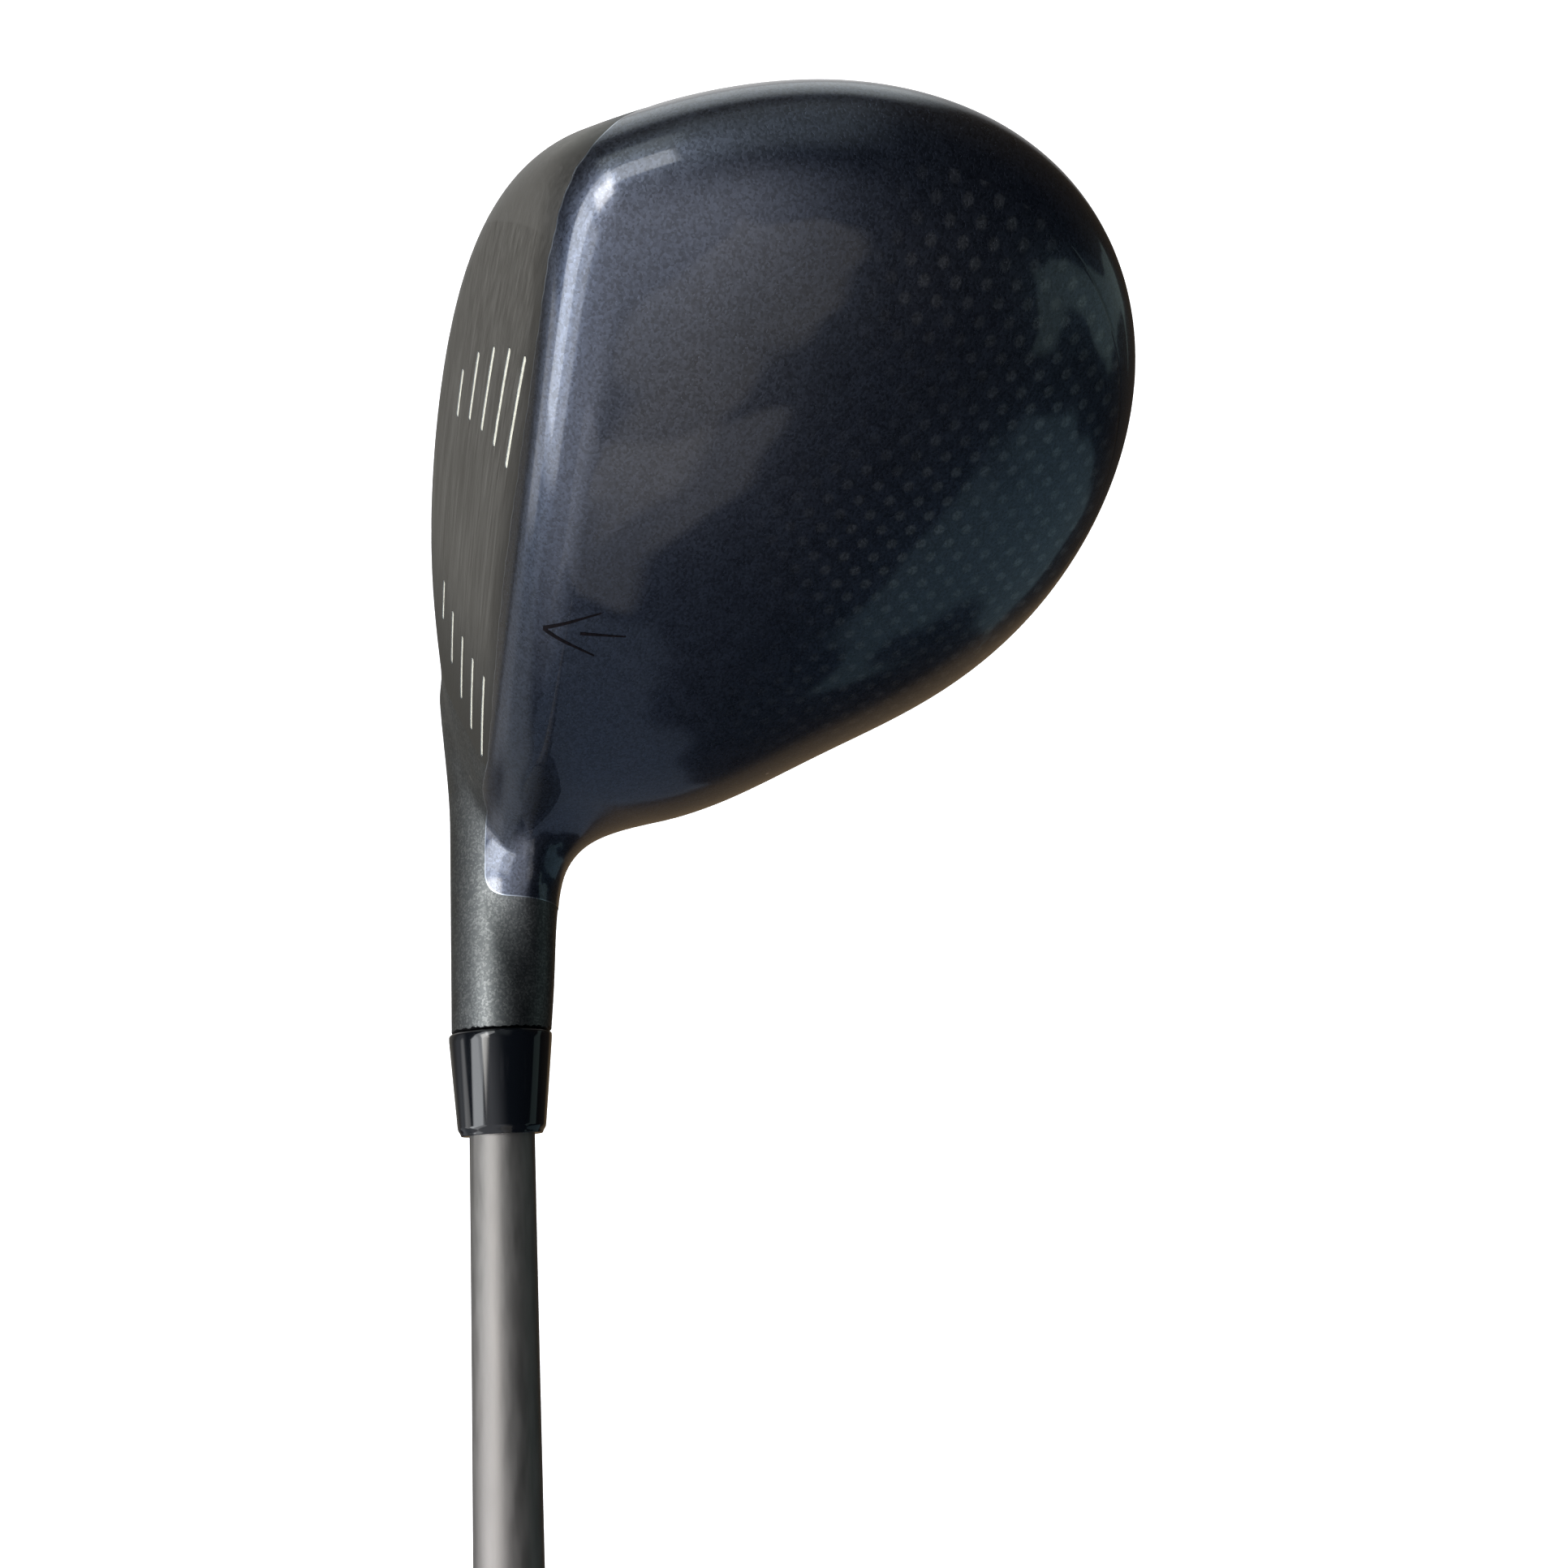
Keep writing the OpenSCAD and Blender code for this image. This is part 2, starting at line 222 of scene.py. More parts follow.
def paint_outline(p):
    """Paint covers the crown, its shoulder and the face's top edge, down to the widest level."""
    u, v = face_coords(p)
    toe = np.clip(-3 - u, 0, None)
    heel = np.clip(3 + u, 0, None)
    corner = np.clip(-u - 48, 0, None)
    line = 12.95 - 4.2 * (toe / 41) ** 2.83 - 6.5 * (heel / 41) ** 5 - 0.15 * corner**2
    wander = 0.1 * np.sin(1.1 * u) * np.sin(0.37 * u + 1) + 0.05 * np.sin(3.1 * u)
    below_line = line - v + wander
    ahead_of_neck = -20.7 - p[..., 1] - 0.3 * np.clip(41 - p[..., 0], 0, None)
    up_hosel = station(p) - PAINT_UP_HOSEL - 0.12 * (p[..., 1] - SHAFT_FOOT[1])
    skirt = PAINT_SKIRT - p[..., 2]
    front = round_max(below_line, ahead_of_neck, 1.5)
    return round_max(front, round_max(up_hosel, skirt, 4), 3.0)


def beside_port(p):
    """From the port's axis to each point, square to the axis."""
    d = p - PORT_PLACE
    return d - (d @ PORT_OUT)[..., None] * PORT_OUT


def port_outline(p, radius):
    off = np.linalg.norm(beside_port(p), axis=-1)
    return np.maximum(off - radius, p[..., 2] - WAIST / 2)


def badge_outline(p):
    x = np.abs(p[..., 0]) - BADGE_HALF[0] + BADGE_CORNER
    y = np.abs(p[..., 1] - BADGE_Y) - BADGE_HALF[1] + BADGE_CORNER
    box = np.hypot(np.maximum(x, 0), np.maximum(y, 0)) + np.minimum(np.maximum(x, y), 0)
    return np.maximum(box - BADGE_CORNER, p[..., 2] - WAIST / 2)


def score_lines_uv():
    """Each score line's inner and outer end and its height on the face."""
    for side in (-1, 1):
        for i, (inner, outer) in enumerate(zip(LINE_INNER, LINE_OUTER)):
            yield side * inner, side * outer, LINE_LOW + i * LINE_PITCH


def lines_outline(p):
    u, v = face_coords(p)
    gap = np.full(u.shape, 9.0)
    for inner, outer, height in score_lines_uv():
        low, high = sorted((inner, outer))
        along = np.clip(u, low + LINE_WIDTH / 2, high - LINE_WIDTH / 2)
        gap = np.minimum(gap, np.hypot(u - along, v - height) - LINE_WIDTH / 2)
    return np.where(p[..., 1] < 0, gap, 9.0)


# ---------------------------------------------------------------- triangles of the head's skin
def surface_net(lo, hi):
    """A net of quads round head_gap = 0: one vertex in each grid cell that the surface crosses."""
    axes = [np.arange(a, b, GRID) for a, b in zip(lo, hi)]
    grid = np.stack(np.meshgrid(*axes, indexing="ij"), -1)
    inside = head_gap(grid) < 0
    n = np.array(inside.shape) - 1
    count = sum(
        inside[i : n[0] + i, j : n[1] + j, k : n[2] + k].astype(int)
        for i in (0, 1) for j in (0, 1) for k in (0, 1)
    )
    crossed = (count > 0) & (count < 8)
    index = np.full(crossed.shape, -1)
    index[crossed] = np.arange(crossed.sum())
    points = np.array(lo) + GRID * (np.argwhere(crossed) + 0.5)
    quads = []
    for axis in range(3):
        near, far = [slice(None)] * 3, [slice(None)] * 3
        near[axis], far[axis] = slice(0, -1), slice(1, None)
        start = inside[tuple(near)]
        edge = np.argwhere(start != inside[tuple(far)])
        starts_in = start[tuple(edge.T)]
        others = [k for k in range(3) if k != axis]
        corners = []
        for back in ((1, 1), (0, 1), (0, 0), (1, 0)):
            cell = edge.copy()
            cell[:, others] -= back
            corners.append(index[tuple(cell.T)])
        quad = np.stack(corners, 1)
        outward = starts_in if axis != 1 else ~starts_in
        quad[~outward] = quad[~outward][:, ::-1]
        quads.append(quad)
    quads = np.concatenate(quads)
    return points, np.concatenate([quads[:, [0, 1, 2]], quads[:, [0, 2, 3]]])


def edges_of(tris):
    pairs = np.sort(np.concatenate([tris[:, [0, 1]], tris[:, [1, 2]], tris[:, [2, 0]]]), 1)
    return np.unique(pairs, axis=0)


def split_edges(points, tris, pairs, middles):
    """Puts each of middles on its edge, the same row of pairs, and cuts the triangles there."""
    n = len(points)
    if not len(pairs):
        return points, tris
    key = pairs[:, 0] * n + pairs[:, 1]
    order = np.argsort(key)
    mid = np.full((len(tris), 3), -1)
    for k in range(3):
        ends = np.sort(tris[:, [k, (k + 1) % 3]], 1)
        edge = ends[:, 0] * n + ends[:, 1]
        place = np.searchsorted(key[order], edge).clip(max=len(key) - 1)
        found = key[order][place] == edge
        mid[found, k] = n + order[place[found]]
    count = (mid >= 0).sum(1)
    first = np.where(count == 1, (mid >= 0).argmax(1), ((mid < 0).argmax(1) + 1) % 3)
    turn = (first[:, None] + np.arange(3)) % 3
    rows = np.arange(len(tris))[:, None]
    t, m = tris[rows, turn], mid[rows, turn]
    one, two, three = count == 1, count == 2, count == 3
    a, b, c = t[one].T
    made = [tris[count == 0], np.c_[a, m[one, 0], c], np.c_[m[one, 0], b, c]]
    a, b, c = t[two].T
    m0, m1 = m[two, 0], m[two, 1]
    made += [np.c_[m0, b, m1], np.c_[a, m0, m1], np.c_[a, m1, c]]
    a, b, c = tris[three].T
    m0, m1, m2 = mid[three].T
    made += [np.c_[a, m0, m2], np.c_[m0, b, m1], np.c_[m2, m1, c], np.c_[m0, m1, m2]]
    return np.concatenate([points, middles]), np.concatenate(made)


def onto_outline(points, outline):
    """Slides points over the head's surface to where outline is 0."""
    for _ in range(3):
        g = slope_of(outline, points)
        normal = head_normals(points)
        g -= (g * normal).sum(-1, keepdims=True) * normal
        points = onto_head(points - short_step(outline(points), g, 0.05), 1)
    return points


def cut_along(points, tris, outline):
    """Lets no triangle cross the line outline = 0."""
    gap = outline(points)
    pairs = edges_of(tris)
    length = np.linalg.norm(points[pairs[:, 0]] - points[pairs[:, 1]], axis=1)
    shortest = np.full(len(points), GRID)
    for end in (0, 1):
        np.minimum.at(shortest, pairs[:, end], length)
    near = np.abs(gap) < 0.25 * shortest
    points[near] = onto_outline(points[near], outline)
    gap[near] = 0
    crossing = gap[pairs[:, 0]] * gap[pairs[:, 1]] < 0
    pairs = pairs[crossing]
    a, b = points[pairs[:, 0]], points[pairs[:, 1]]
    share = gap[pairs[:, 0]] / (gap[pairs[:, 0]] - gap[pairs[:, 1]])
    return split_edges(points, tris, pairs, onto_outline(a + share[:, None] * (b - a), outline))


def refine(points, tris, outline, reach, length):
    """Halves the edges longer than length within reach of the line outline = 0."""
    pairs = edges_of(tris)
    a, b = points[pairs[:, 0]], points[pairs[:, 1]]
    middle = (a + b) / 2
    wanted = (np.abs(outline(middle)) < reach) & (np.linalg.norm(a - b, axis=1) > length)
    return split_edges(points, tris, pairs[wanted], onto_head(middle[wanted], 2))


def head_skin():
    """The head's outer surface as points and triangles that cross none of its pieces' outlines."""
    points, tris = surface_net((-58, -32, -2), (73, 54, 54))
    points = onto_head(points, 6)
    for reach, length in ((1.6, 0.5), (0.9, 0.25)):
        points, tris = refine(points, tris, lines_outline, reach, length)
    top_of_hosel = lambda p: station(p) - HOSEL_TOP + 0.3
    outlines = [
        cup_outline, crown_outline, paint_outline, badge_outline, lines_outline, top_of_hosel,
        lambda p: port_outline(p, POCKET_R + PORT_CLEARANCE),
        lambda p: port_outline(p, POCKET_R + BOSS_WALL),
    ]
    for outline in outlines:
        points, tris = cut_along(points, tris, outline)
    middle = points[tris].mean(1)
    zone = np.full(len(tris), "body_bare", dtype="<U12")
    zone[paint_outline(middle) < 0] = "body_paint"
    zone[crown_outline(middle) < 0] = "crown"
    cup = cup_outline(middle) < 0
    zone[cup] = np.where(paint_outline(middle) < 0, "cup_paint", "cup_bare")[cup]
    zone[cup & (lines_outline(middle) < 0)] = "cup_line"
    zone[badge_outline(middle) < 0] = "badge"
    zone[port_outline(middle, POCKET_R + BOSS_WALL) < 0] = "port_lip"
    zone[port_outline(middle, POCKET_R + PORT_CLEARANCE) < 0] = "port"
    zone[top_of_hosel(middle) > 0] = "beyond"
    return points, tris, without_strays(tris, zone)


def without_strays(tris, zone):
    """Gives a triangle that lies alone in another zone that zone."""
    edges = np.sort(tris[:, [[0, 1], [1, 2], [2, 0]]], 2).reshape(-1, 2)
    order = np.lexsort((edges[:, 0], edges[:, 1]))
    beside = np.empty(len(edges), int)
    beside[order[0::2]], beside[order[1::2]] = order[1::2] // 3, order[0::2] // 3
    beside = zone[beside.reshape(-1, 3)]
    alone = (beside != zone[:, None]).all(1) & (beside == beside[:, :1]).all(1)
    return np.where(alone, beside[:, 0], zone)


# ---------------------------------------------------------------- meshes
def build_mesh(name, verts, faces, slots=None, normals=None, smooth=True, attributes=None):
    """faces is a list of index arrays, 3 or 4 columns wide, and normals a list to match."""
    mesh = bpy.data.meshes.new(name)
    faces = [np.asarray(f, int) for f in faces]
    loops = np.concatenate([f.ravel() for f in faces])
    sizes = np.concatenate([np.full(len(f), f.shape[1]) for f in faces])
    mesh.vertices.add(len(verts))
    mesh.vertices.foreach_set("co", np.asarray(verts, np.float32).ravel())
    mesh.loops.add(len(loops))
    mesh.loops.foreach_set("vertex_index", loops.astype(np.int32))
    mesh.polygons.add(len(sizes))
    mesh.polygons.foreach_set("loop_start", (np.cumsum(sizes) - sizes).astype(np.int32))
    if slots is not None:
        mesh.polygons.foreach_set("material_index", np.concatenate(slots).astype(np.int32))
    mesh.update(calc_edges=True)
    mesh.polygons.foreach_set("use_smooth", np.full(len(sizes), smooth))
    for key, values in (attributes or {}).items():
        layer = mesh.attributes.new(key, "FLOAT", "POINT")
        layer.data.foreach_set("value", np.asarray(values, np.float32))
    if normals is not None:
        mesh.normals_split_custom_set(np.concatenate([n.reshape(-1, 3) for n in normals]).tolist())
    mesh.validate(clean_customdata=False)
    thing = bpy.data.objects.new(name, mesh)
    bpy.context.scene.collection.objects.link(thing)
    return thing


def add_piece(thing, body, slot, looks, *nodes):
    """Gives a piece its materials and body, and hides the CAD nodes that it stands for; slot is not used.
    """
    for look in looks:
        thing.data.materials.append(look)
    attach(thing, body)
    if nodes:
        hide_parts(*nodes)
    return thing


def numbered(edges):
    """The vertices of some edges, and a table from a vertex to its place among them."""
    vertex = np.unique(edges)
    place = np.zeros(vertex.max() + 1, int)
    place[vertex] = np.arange(len(vertex))
    return vertex, place


def among(edges, others):
    """Which of the edges are there in others, in the same direction."""
    n = max(edges.max(initial=0), others.max(initial=0)) + 1
    return np.isin(edges @ (n, 1), others @ (n, 1))


def open_edges(tris):
    """Directed edges with a triangle on one side only."""
    edges = np.concatenate([tris[:, [0, 1]], tris[:, [1, 2]], tris[:, [2, 0]]])
    return edges[~among(edges[:, ::-1], edges)]


class Shell:
    """A closed wall whose outer skin is the head's surface, sunk by a depth in each zone."""

    def __init__(self, skin, normals, wall):
        self.points, self.tris, self.zone = skin
        self.normals = normals
        self.wall = wall
        self.verts, self.count, self.index = [], 0, {}
        self.faces, self.slots, self.shades = [], [], []

    def extra(self, places):
        """Adds vertices and gives their indices."""
        start = self.count
        self.count += len(places)
        self.verts.append(places)
        return np.arange(start, self.count)

    def at(self, vertex, depth):
        """The indices of skin vertices sunk to a depth; depth None is the inner skin."""
        index = self.index.setdefault(depth, np.full(len(self.points), -1))
        new = np.unique(vertex[index[vertex] < 0])
        sink = self.wall[new] if depth is None else np.full(len(new), SKIN_GAP + depth)
        index[new] = self.extra(self.points[new] - self.normals[new] * sink[:, None])
        return index[vertex]

    def add(self, faces, slot, shade=None):
        self.faces.append(faces)
        self.slots.append(np.full(len(faces), slot))
        self.shades.append(shade)

    def skin(self, zones, depth, slot):
        chosen = self.tris[np.isin(self.zone, zones)]
        self.add(self.at(chosen, depth), slot, self.normals[chosen])
        return chosen

    def inner(self, zones, slot):
        chosen = self.tris[np.isin(self.zone, zones)][:, ::-1]
        self.add(self.at(chosen, None), slot, -self.normals[chosen])

    def ribbon(self, upper, lower, slot):
        """Quads between two rows of edges: upper and lower hold the start and end of each edge."""
        self.add(np.c_[upper[:, 1], upper[:, 0], lower[:, 0], lower[:, 1]], slot)

    def close(self, edges, depth, slot):
        """Joins the outer skin to the inner one along some edges."""
        self.ribbon(self.at(edges, depth), self.at(edges, None), slot)

    def steps(self, levels, slot):
        """Joins zones that lie at different depths. levels is a list of (triangles, depth)."""
        for i, (high, d0) in enumerate(levels):
            edges = open_edges(high)
            for low, d1 in levels[i + 1 :]:
                shared = edges[among(edges[:, ::-1], open_edges(low))]
                if len(shared) and d0 != d1:
                    self.ribbon(self.at(shared, d0), self.at(shared, d1), slot)

    def outer_rim(self, levels):
        """The open edges of the outer skin, each with its depth."""
        rim = open_edges(np.concatenate([t for t, _ in levels]))
        for tris, depth in levels:
            edges = open_edges(tris)
            edges = edges[among(edges, rim)]
            if len(edges):
                yield edges, depth

    def turned(self, edges, start, rings, slot):
        """From a round rim, rings of (radius, depth) round the port's axis, closed by a cap."""
        upper = start
        vertex, place = numbered(edges)
        flat = unit(beside_port(self.points[vertex]))
        for radius, depth in rings:
            ring = self.extra(PORT_PLACE + radius * flat - depth * PORT_OUT)
            lower = ring[place[edges]]
            self.ribbon(upper, lower, slot)
            upper = lower
        tip = self.extra((PORT_PLACE - rings[-1][1] * PORT_OUT)[None])
        self.add(np.c_[upper[:, 1], upper[:, 0], np.full(len(upper), tip[0])], slot)

    def build(self, name, attributes):
        verts = np.concatenate(self.verts)
        shades = []
        for faces, shade in zip(self.faces, self.shades):
            if shade is None:
                a, b, c = (verts[faces[:, k]] for k in range(3))
                n = np.cross(b - a, c - a)
                n /= np.maximum(np.linalg.norm(n, axis=1, keepdims=True), 1e-12)
                shade = np.repeat(n[:, None], faces.shape[1], 1)
            shades.append(shade)
        values = {key: outline(verts) for key, outline in attributes.items()}
        return build_mesh(name, verts * MM, self.faces, self.slots, shades, attributes=values)


def round_profile(corners, steps=4):
    """Outline points from (radius, station, rounding) corners, each rounding an arc-like curve."""
    out = []
    n = len(corners)
    for i, (r, s, rounding) in enumerate(corners):
        here = np.array([r, s], float)
        if rounding <= 0:
            out.append(here)
            continue
        before = np.array(corners[i - 1][:2], float) - here
        after = np.array(corners[(i + 1) % n][:2], float) - here
        a = here + unit(before) * rounding
        b = here + unit(after) * rounding
        for t in np.linspace(0, 1, steps + 1):
            out.append((1 - t) ** 2 * a + 2 * t * (1 - t) * here + t * t * b)
    return np.array(out)


def turned_piece(name, profile, turns=96, bend=35, ripple=None):
    """A closed outline turned round Z; ripple may move each vertex's radius."""
    profile = np.asarray(profile, float)
    angle = np.arange(turns) * 2 * math.pi / turns
    radius = np.repeat(profile[:, :1], turns, 1)
    height = np.repeat(profile[:, 1:], turns, 1)
    if ripple is not None:
        radius = radius + ripple(radius, height, angle[None, :])
    verts = np.stack([radius * np.cos(angle), radius * np.sin(angle), height], -1).reshape(-1, 3)
    grid = np.arange(len(verts)).reshape(-1, turns)
    after = np.roll(grid, -1, 0)
    corners = [grid, np.roll(grid, -1, 1), np.roll(after, -1, 1), after]
    quads = np.stack(corners, -1).reshape(-1, 4)
    r, z = profile.T
    if np.sum(r * np.roll(z, -1) - np.roll(r, -1) * z) < 0:
        quads = quads[:, ::-1]
    thing = build_mesh(name, verts * MM, [quads])
    thing.data.set_sharp_from_angle(angle=math.radians(bend))
    return thing


def frame_matrix(origin, z_axis, x_axis):
    z, x = Vector(z_axis).normalized(), Vector(x_axis).normalized()
    y = z.cross(x)
    turn = Matrix((x, y, z)).transposed().to_4x4()
    return Matrix.Translation(Vector(origin) * MM) @ turn


SHAFT_FRAME = frame_matrix(SHAFT_FOOT, SHAFT_DIR, (SHAFT_DIR[2], 0, -SHAFT_DIR[0]))
PORT_FRAME = frame_matrix(PORT_PLACE, PORT_OUT, PORT_SIDE)


def strip_on_head(centre, half, top, bottom):
    """A thin closed strip on the head: a row of points and half its width, as a vector, at each."""
    left, right = onto_head(centre - half, 8), onto_head(centre + half, 8)
    middle = onto_head(centre, 8)
    rows = []
    for depth, sides in ((top, (left, middle, right)), (bottom, (right, middle, left))):
        rows += [side - head_normals(side) * depth for side in sides]
    verts = np.concatenate(rows)
    grid = np.arange(len(verts)).reshape(6, -1)
    beside = np.roll(grid, -1, 0)
    corners = [grid[:, :-1], grid[:, 1:], beside[:, 1:], beside[:, :-1]]
    first, last = grid[:, 0], grid[:, -1]
    caps = [first[[0, 1, 4, 5]], first[[1, 2, 3, 4]], last[[5, 4, 1, 0]], last[[4, 3, 2, 1]]]
    return verts, np.concatenate([np.stack(corners, -1).reshape(-1, 4), caps])


def join_strips(name, strips):
    verts, faces, start = [], [], 0
    for v, f in strips:
        verts.append(v)
        faces.append(f + start)
        start += len(v)
    thing = build_mesh(name, np.concatenate(verts) * MM, faces)
    fix_outward(thing)
    thing.data.set_sharp_from_angle(angle=math.radians(40))
    return thing


def fix_outward(thing):
    made = bmesh.new()
    made.from_mesh(thing.data)
    bmesh.ops.recalc_face_normals(made, faces=made.faces)
    made.to_mesh(thing.data)
    made.free()


# ---------------------------------------------------------------- materials
class Graph:
    """A node tree and short ways to add to it."""

    def __init__(self, tree, place):
        self.tree = tree
        self.place = self.node("TexCoord").outputs[place]

    def node(self, kind, inputs=(), **settings):
        """A shader node; inputs gives a value or a socket for each input, by name or number."""
        made = self.tree.nodes.new("ShaderNode" + kind)
        for key, value in settings.items():
            setattr(made, key, value)
        for key, value in dict(inputs).items():
            self.put(made.inputs[key], value)
        return made

    def put(self, socket, value):
        if isinstance(value, bpy.types.NodeSocket):
            self.tree.links.new(value, socket)
        elif isinstance(value, tuple) and len(value) == 3 and socket.type == "RGBA":
            socket.default_value = (*value, 1)
        else:
            socket.default_value = value

    def stretched(self, scale, turn=(0, 0, 0)):
        inputs = {"Vector": self.place, "Scale": scale, "Rotation": turn}
        return self.node("Mapping", inputs).outputs["Vector"]

    def noise(self, scale, detail=2.0, place=None, roughness=0.5):
        inputs = {"Vector": place or self.place, "Scale": scale, "Detail": detail}
        return self.node("TexNoise", {**inputs, "Roughness": roughness}).outputs["Fac"]

    def cells(self, scale, output="Color"):
        inputs = {"Vector": self.place, "Scale": scale}
        return self.node("TexVoronoi", inputs).outputs[output]

    def math(self, operation, *values):
        return self.node("Math", enumerate(values), operation=operation).outputs[0]

    def times(self, a, b):
        return self.math("MULTIPLY", a, b)

    def plus(self, a, b):
        return self.math("ADD", a, b)

    def axis(self, vector, name):
        return self.node("SeparateXYZ", {0: vector}).outputs[name]

    def span(self, value, low, high, start=0.0, end=1.0, smooth=False):
        """Maps low to high onto start to end, and holds the ends beyond them."""
        kind = "SMOOTHSTEP" if smooth else "LINEAR"
        inputs = enumerate((value, low, high, start, end))
        return self.node("MapRange", inputs, interpolation_type=kind).outputs["Result"]

    def vary(self, value, start=0.0, end=1.0):
        """Spreads the middle of a noise's values, where most of them lie, over start to end."""
        return self.span(value, 0.3, 0.7, start, end)

    def mix(self, share, a, b, blend="MIX"):
        inputs = {0: share, 6: a, 7: b}
        return self.node("Mix", inputs, data_type="RGBA", blend_type=blend).outputs[2]

    def dot(self, vector, constant):
        inputs = {0: vector, 1: constant}
        return self.node("VectorMath", inputs, operation="DOT_PRODUCT").outputs["Value"]


class Look(Graph):
    """A material: one Principled shader and what feeds it."""

    def __init__(self, name, **settings):
        self.material = bpy.data.materials.new(name)
        self.material.use_nodes = True
        super().__init__(self.material.node_tree, "Object")
        self.shader = self.tree.nodes["Principled BSDF"]
        self.set(**settings)

    def set(self, **inputs):
        for key, value in inputs.items():
            self.put(self.shader.inputs[key.replace("_", " ")], value)

    def value(self, name):
        return self.node("Attribute", attribute_name=name).outputs["Fac"]

    def bump(self, height, distance, strength):
        inputs = {"Height": height, "Distance": distance, "Strength": strength}
        return self.node("Bump", inputs).outputs["Normal"]

    def done(self, colour, rough, *bump):
        """Sets colour, roughness and, from height, distance and strength, the bump."""
        self.set(Base_Color=colour, Roughness=rough)
        if bump:
            self.set(Normal=self.bump(*bump))
        return self.material


def navy_paint(name, dots):
    """Metallic navy under a clear coat: fine flakes, a painted highlight along the paint's cut edge, a worn
    seam and dust.
    """
    look = Look(name, Metallic=0.95, Coat_Weight=1.0, Coat_Roughness=0.02, Coat_IOR=1.5)
    flake = look.axis(look.cells(4000), "X")
    cloud = look.noise(38, 4)
    bright = look.span(flake, 0, 1, 0.62, 1.38)
    bright = look.times(bright, look.vary(cloud, 0.9, 1.1))
    navy = look.mix(look.span(cloud, 0.35, 0.65), (0.055, 0.067, 0.097), (0.062, 0.070, 0.093))
    if dots:
        navy = look.mix(dot_grid(look), navy, (0.26, 0.265, 0.275))
    tint = look.node("CombineColor", dict.fromkeys(range(3), bright)).outputs[0]
    colour = look.mix(1.0, navy, tint, "MULTIPLY")
    behind = look.span(look.axis(look.place, "Y"), 0.012, 0.02)
    from_seam = look.math("ABSOLUTE", look.value("seam"))
    seam = look.times(look.span(from_seam, 0.04, 0.26, 1, 0, True), behind)
    worn = look.span(look.noise(90, 3), 0.45, 0.6, 0.1, 0.8)
    colour = look.mix(look.times(seam, worn), colour, (0.01, 0.012, 0.02))
    # painted highlight: a thin pale line just inside the paint's edge, broken up by noise, stands in for
    # light caught by the edge
    edge = look.span(look.value("coat"), -0.2, -0.04, 0, 1, True)
    edge_highlight_breaks = look.span(look.noise(260, 3), 0.3, 0.6, 0.3, 1)
    colour = look.mix(look.times(edge, edge_highlight_breaks), colour, (0.34, 0.38, 0.44))
    near_speck = look.span(look.cells(260, "Distance"), 0.05, 0.09, 1, 0)
    dust = look.times(near_speck, look.span(look.axis(look.cells(260), "Z"), 0.985, 0.99))
    colour = look.mix(dust, colour, (0.7, 0.7, 0.68))
    peel = look.plus(look.times(look.noise(160, 2), 0.08), look.times(seam, -1.0))
    look.set(Coat_Normal=look.bump(peel, 0.00004, 0.5))
    return look.done(colour, look.vary(look.noise(420, 2), 0.26, 0.33), flake, 0.00002, 0.6)


def dot_grid(look):
    """Faint staggered dots under the paint, towards the back of the crown."""
    across, along, dot = 3.6 * MM, 1.85 * MM, 0.85 * MM
    x, y = look.axis(look.place, "X"), look.axis(look.place, "Y")
    row = look.math("ROUND", look.math("DIVIDE", x, along))
    odd = look.times(look.math("FLOORED_MODULO", row, 2.0), 0.5)
    column = look.math("FRACT", look.plus(look.math("DIVIDE", y, across), odd))
    dy = look.times(look.math("SUBTRACT", column, 0.5), across)
    dx = look.math("SUBTRACT", x, look.times(row, along))
    far = look.math("SQRT", look.plus(look.times(dx, dx), look.times(dy, dy)))
    spot = look.span(far, dot, 0.45 * dot, 0, 1, True)
    ragged = look.plus(y, look.times(look.noise(25, 1), 0.03))
    back = look.span(ragged, 0.018, 0.034, 0, 1, True)
    toe = look.span(x, -0.020, 0.025, 1, 0.4)
    uneven = look.times(toe, look.span(look.noise(55, 2), 0.35, 0.65, 0.2, 0.55))
    return look.times(look.times(spot, back), uneven)


def satin_black():
    """Blasted black steel of the body and hosel, with fine pale grains and a few scuffs."""
    look = Look("satin_black", Metallic=1.0)
    grain = look.axis(look.cells(4200), "X")
    colour = look.mix(look.span(grain, 0.4, 1.0), (0.092, 0.098, 0.100), (0.185, 0.191, 0.190))
    colour = look.mix(look.span(look.noise(30, 4), 0.4, 0.65, 0, 0.3), colour, (0.115, 0.118, 0.114))
    drawn = look.noise(900, 2, look.stretched((1, 0.12, 0.5), (0.4, 0.3, 0.7)))
    scuff = look.times(look.span(drawn, 0.67, 0.70), look.span(look.noise(70, 2), 0.56, 0.60))
    colour = look.mix(look.times(scuff, 0.6), colour, (0.32, 0.31, 0.28))
    up_shaft = look.dot(look.place, tuple(SHAFT_DIR))
    ragged = look.plus(up_shaft, look.times(look.noise(1500, 2), 0.9 * MM))
    rim = (SHAFT_FOOT @ SHAFT_DIR + HOSEL_TOP) * MM
    glue = look.span(ragged, rim + 0.05 * MM, rim + 0.12 * MM)
    colour = look.mix(glue, colour, (0.006, 0.006, 0.007))
    return look.done(colour, look.vary(look.noise(300, 3), 0.38, 0.48), grain, 0.000012, 0.5)


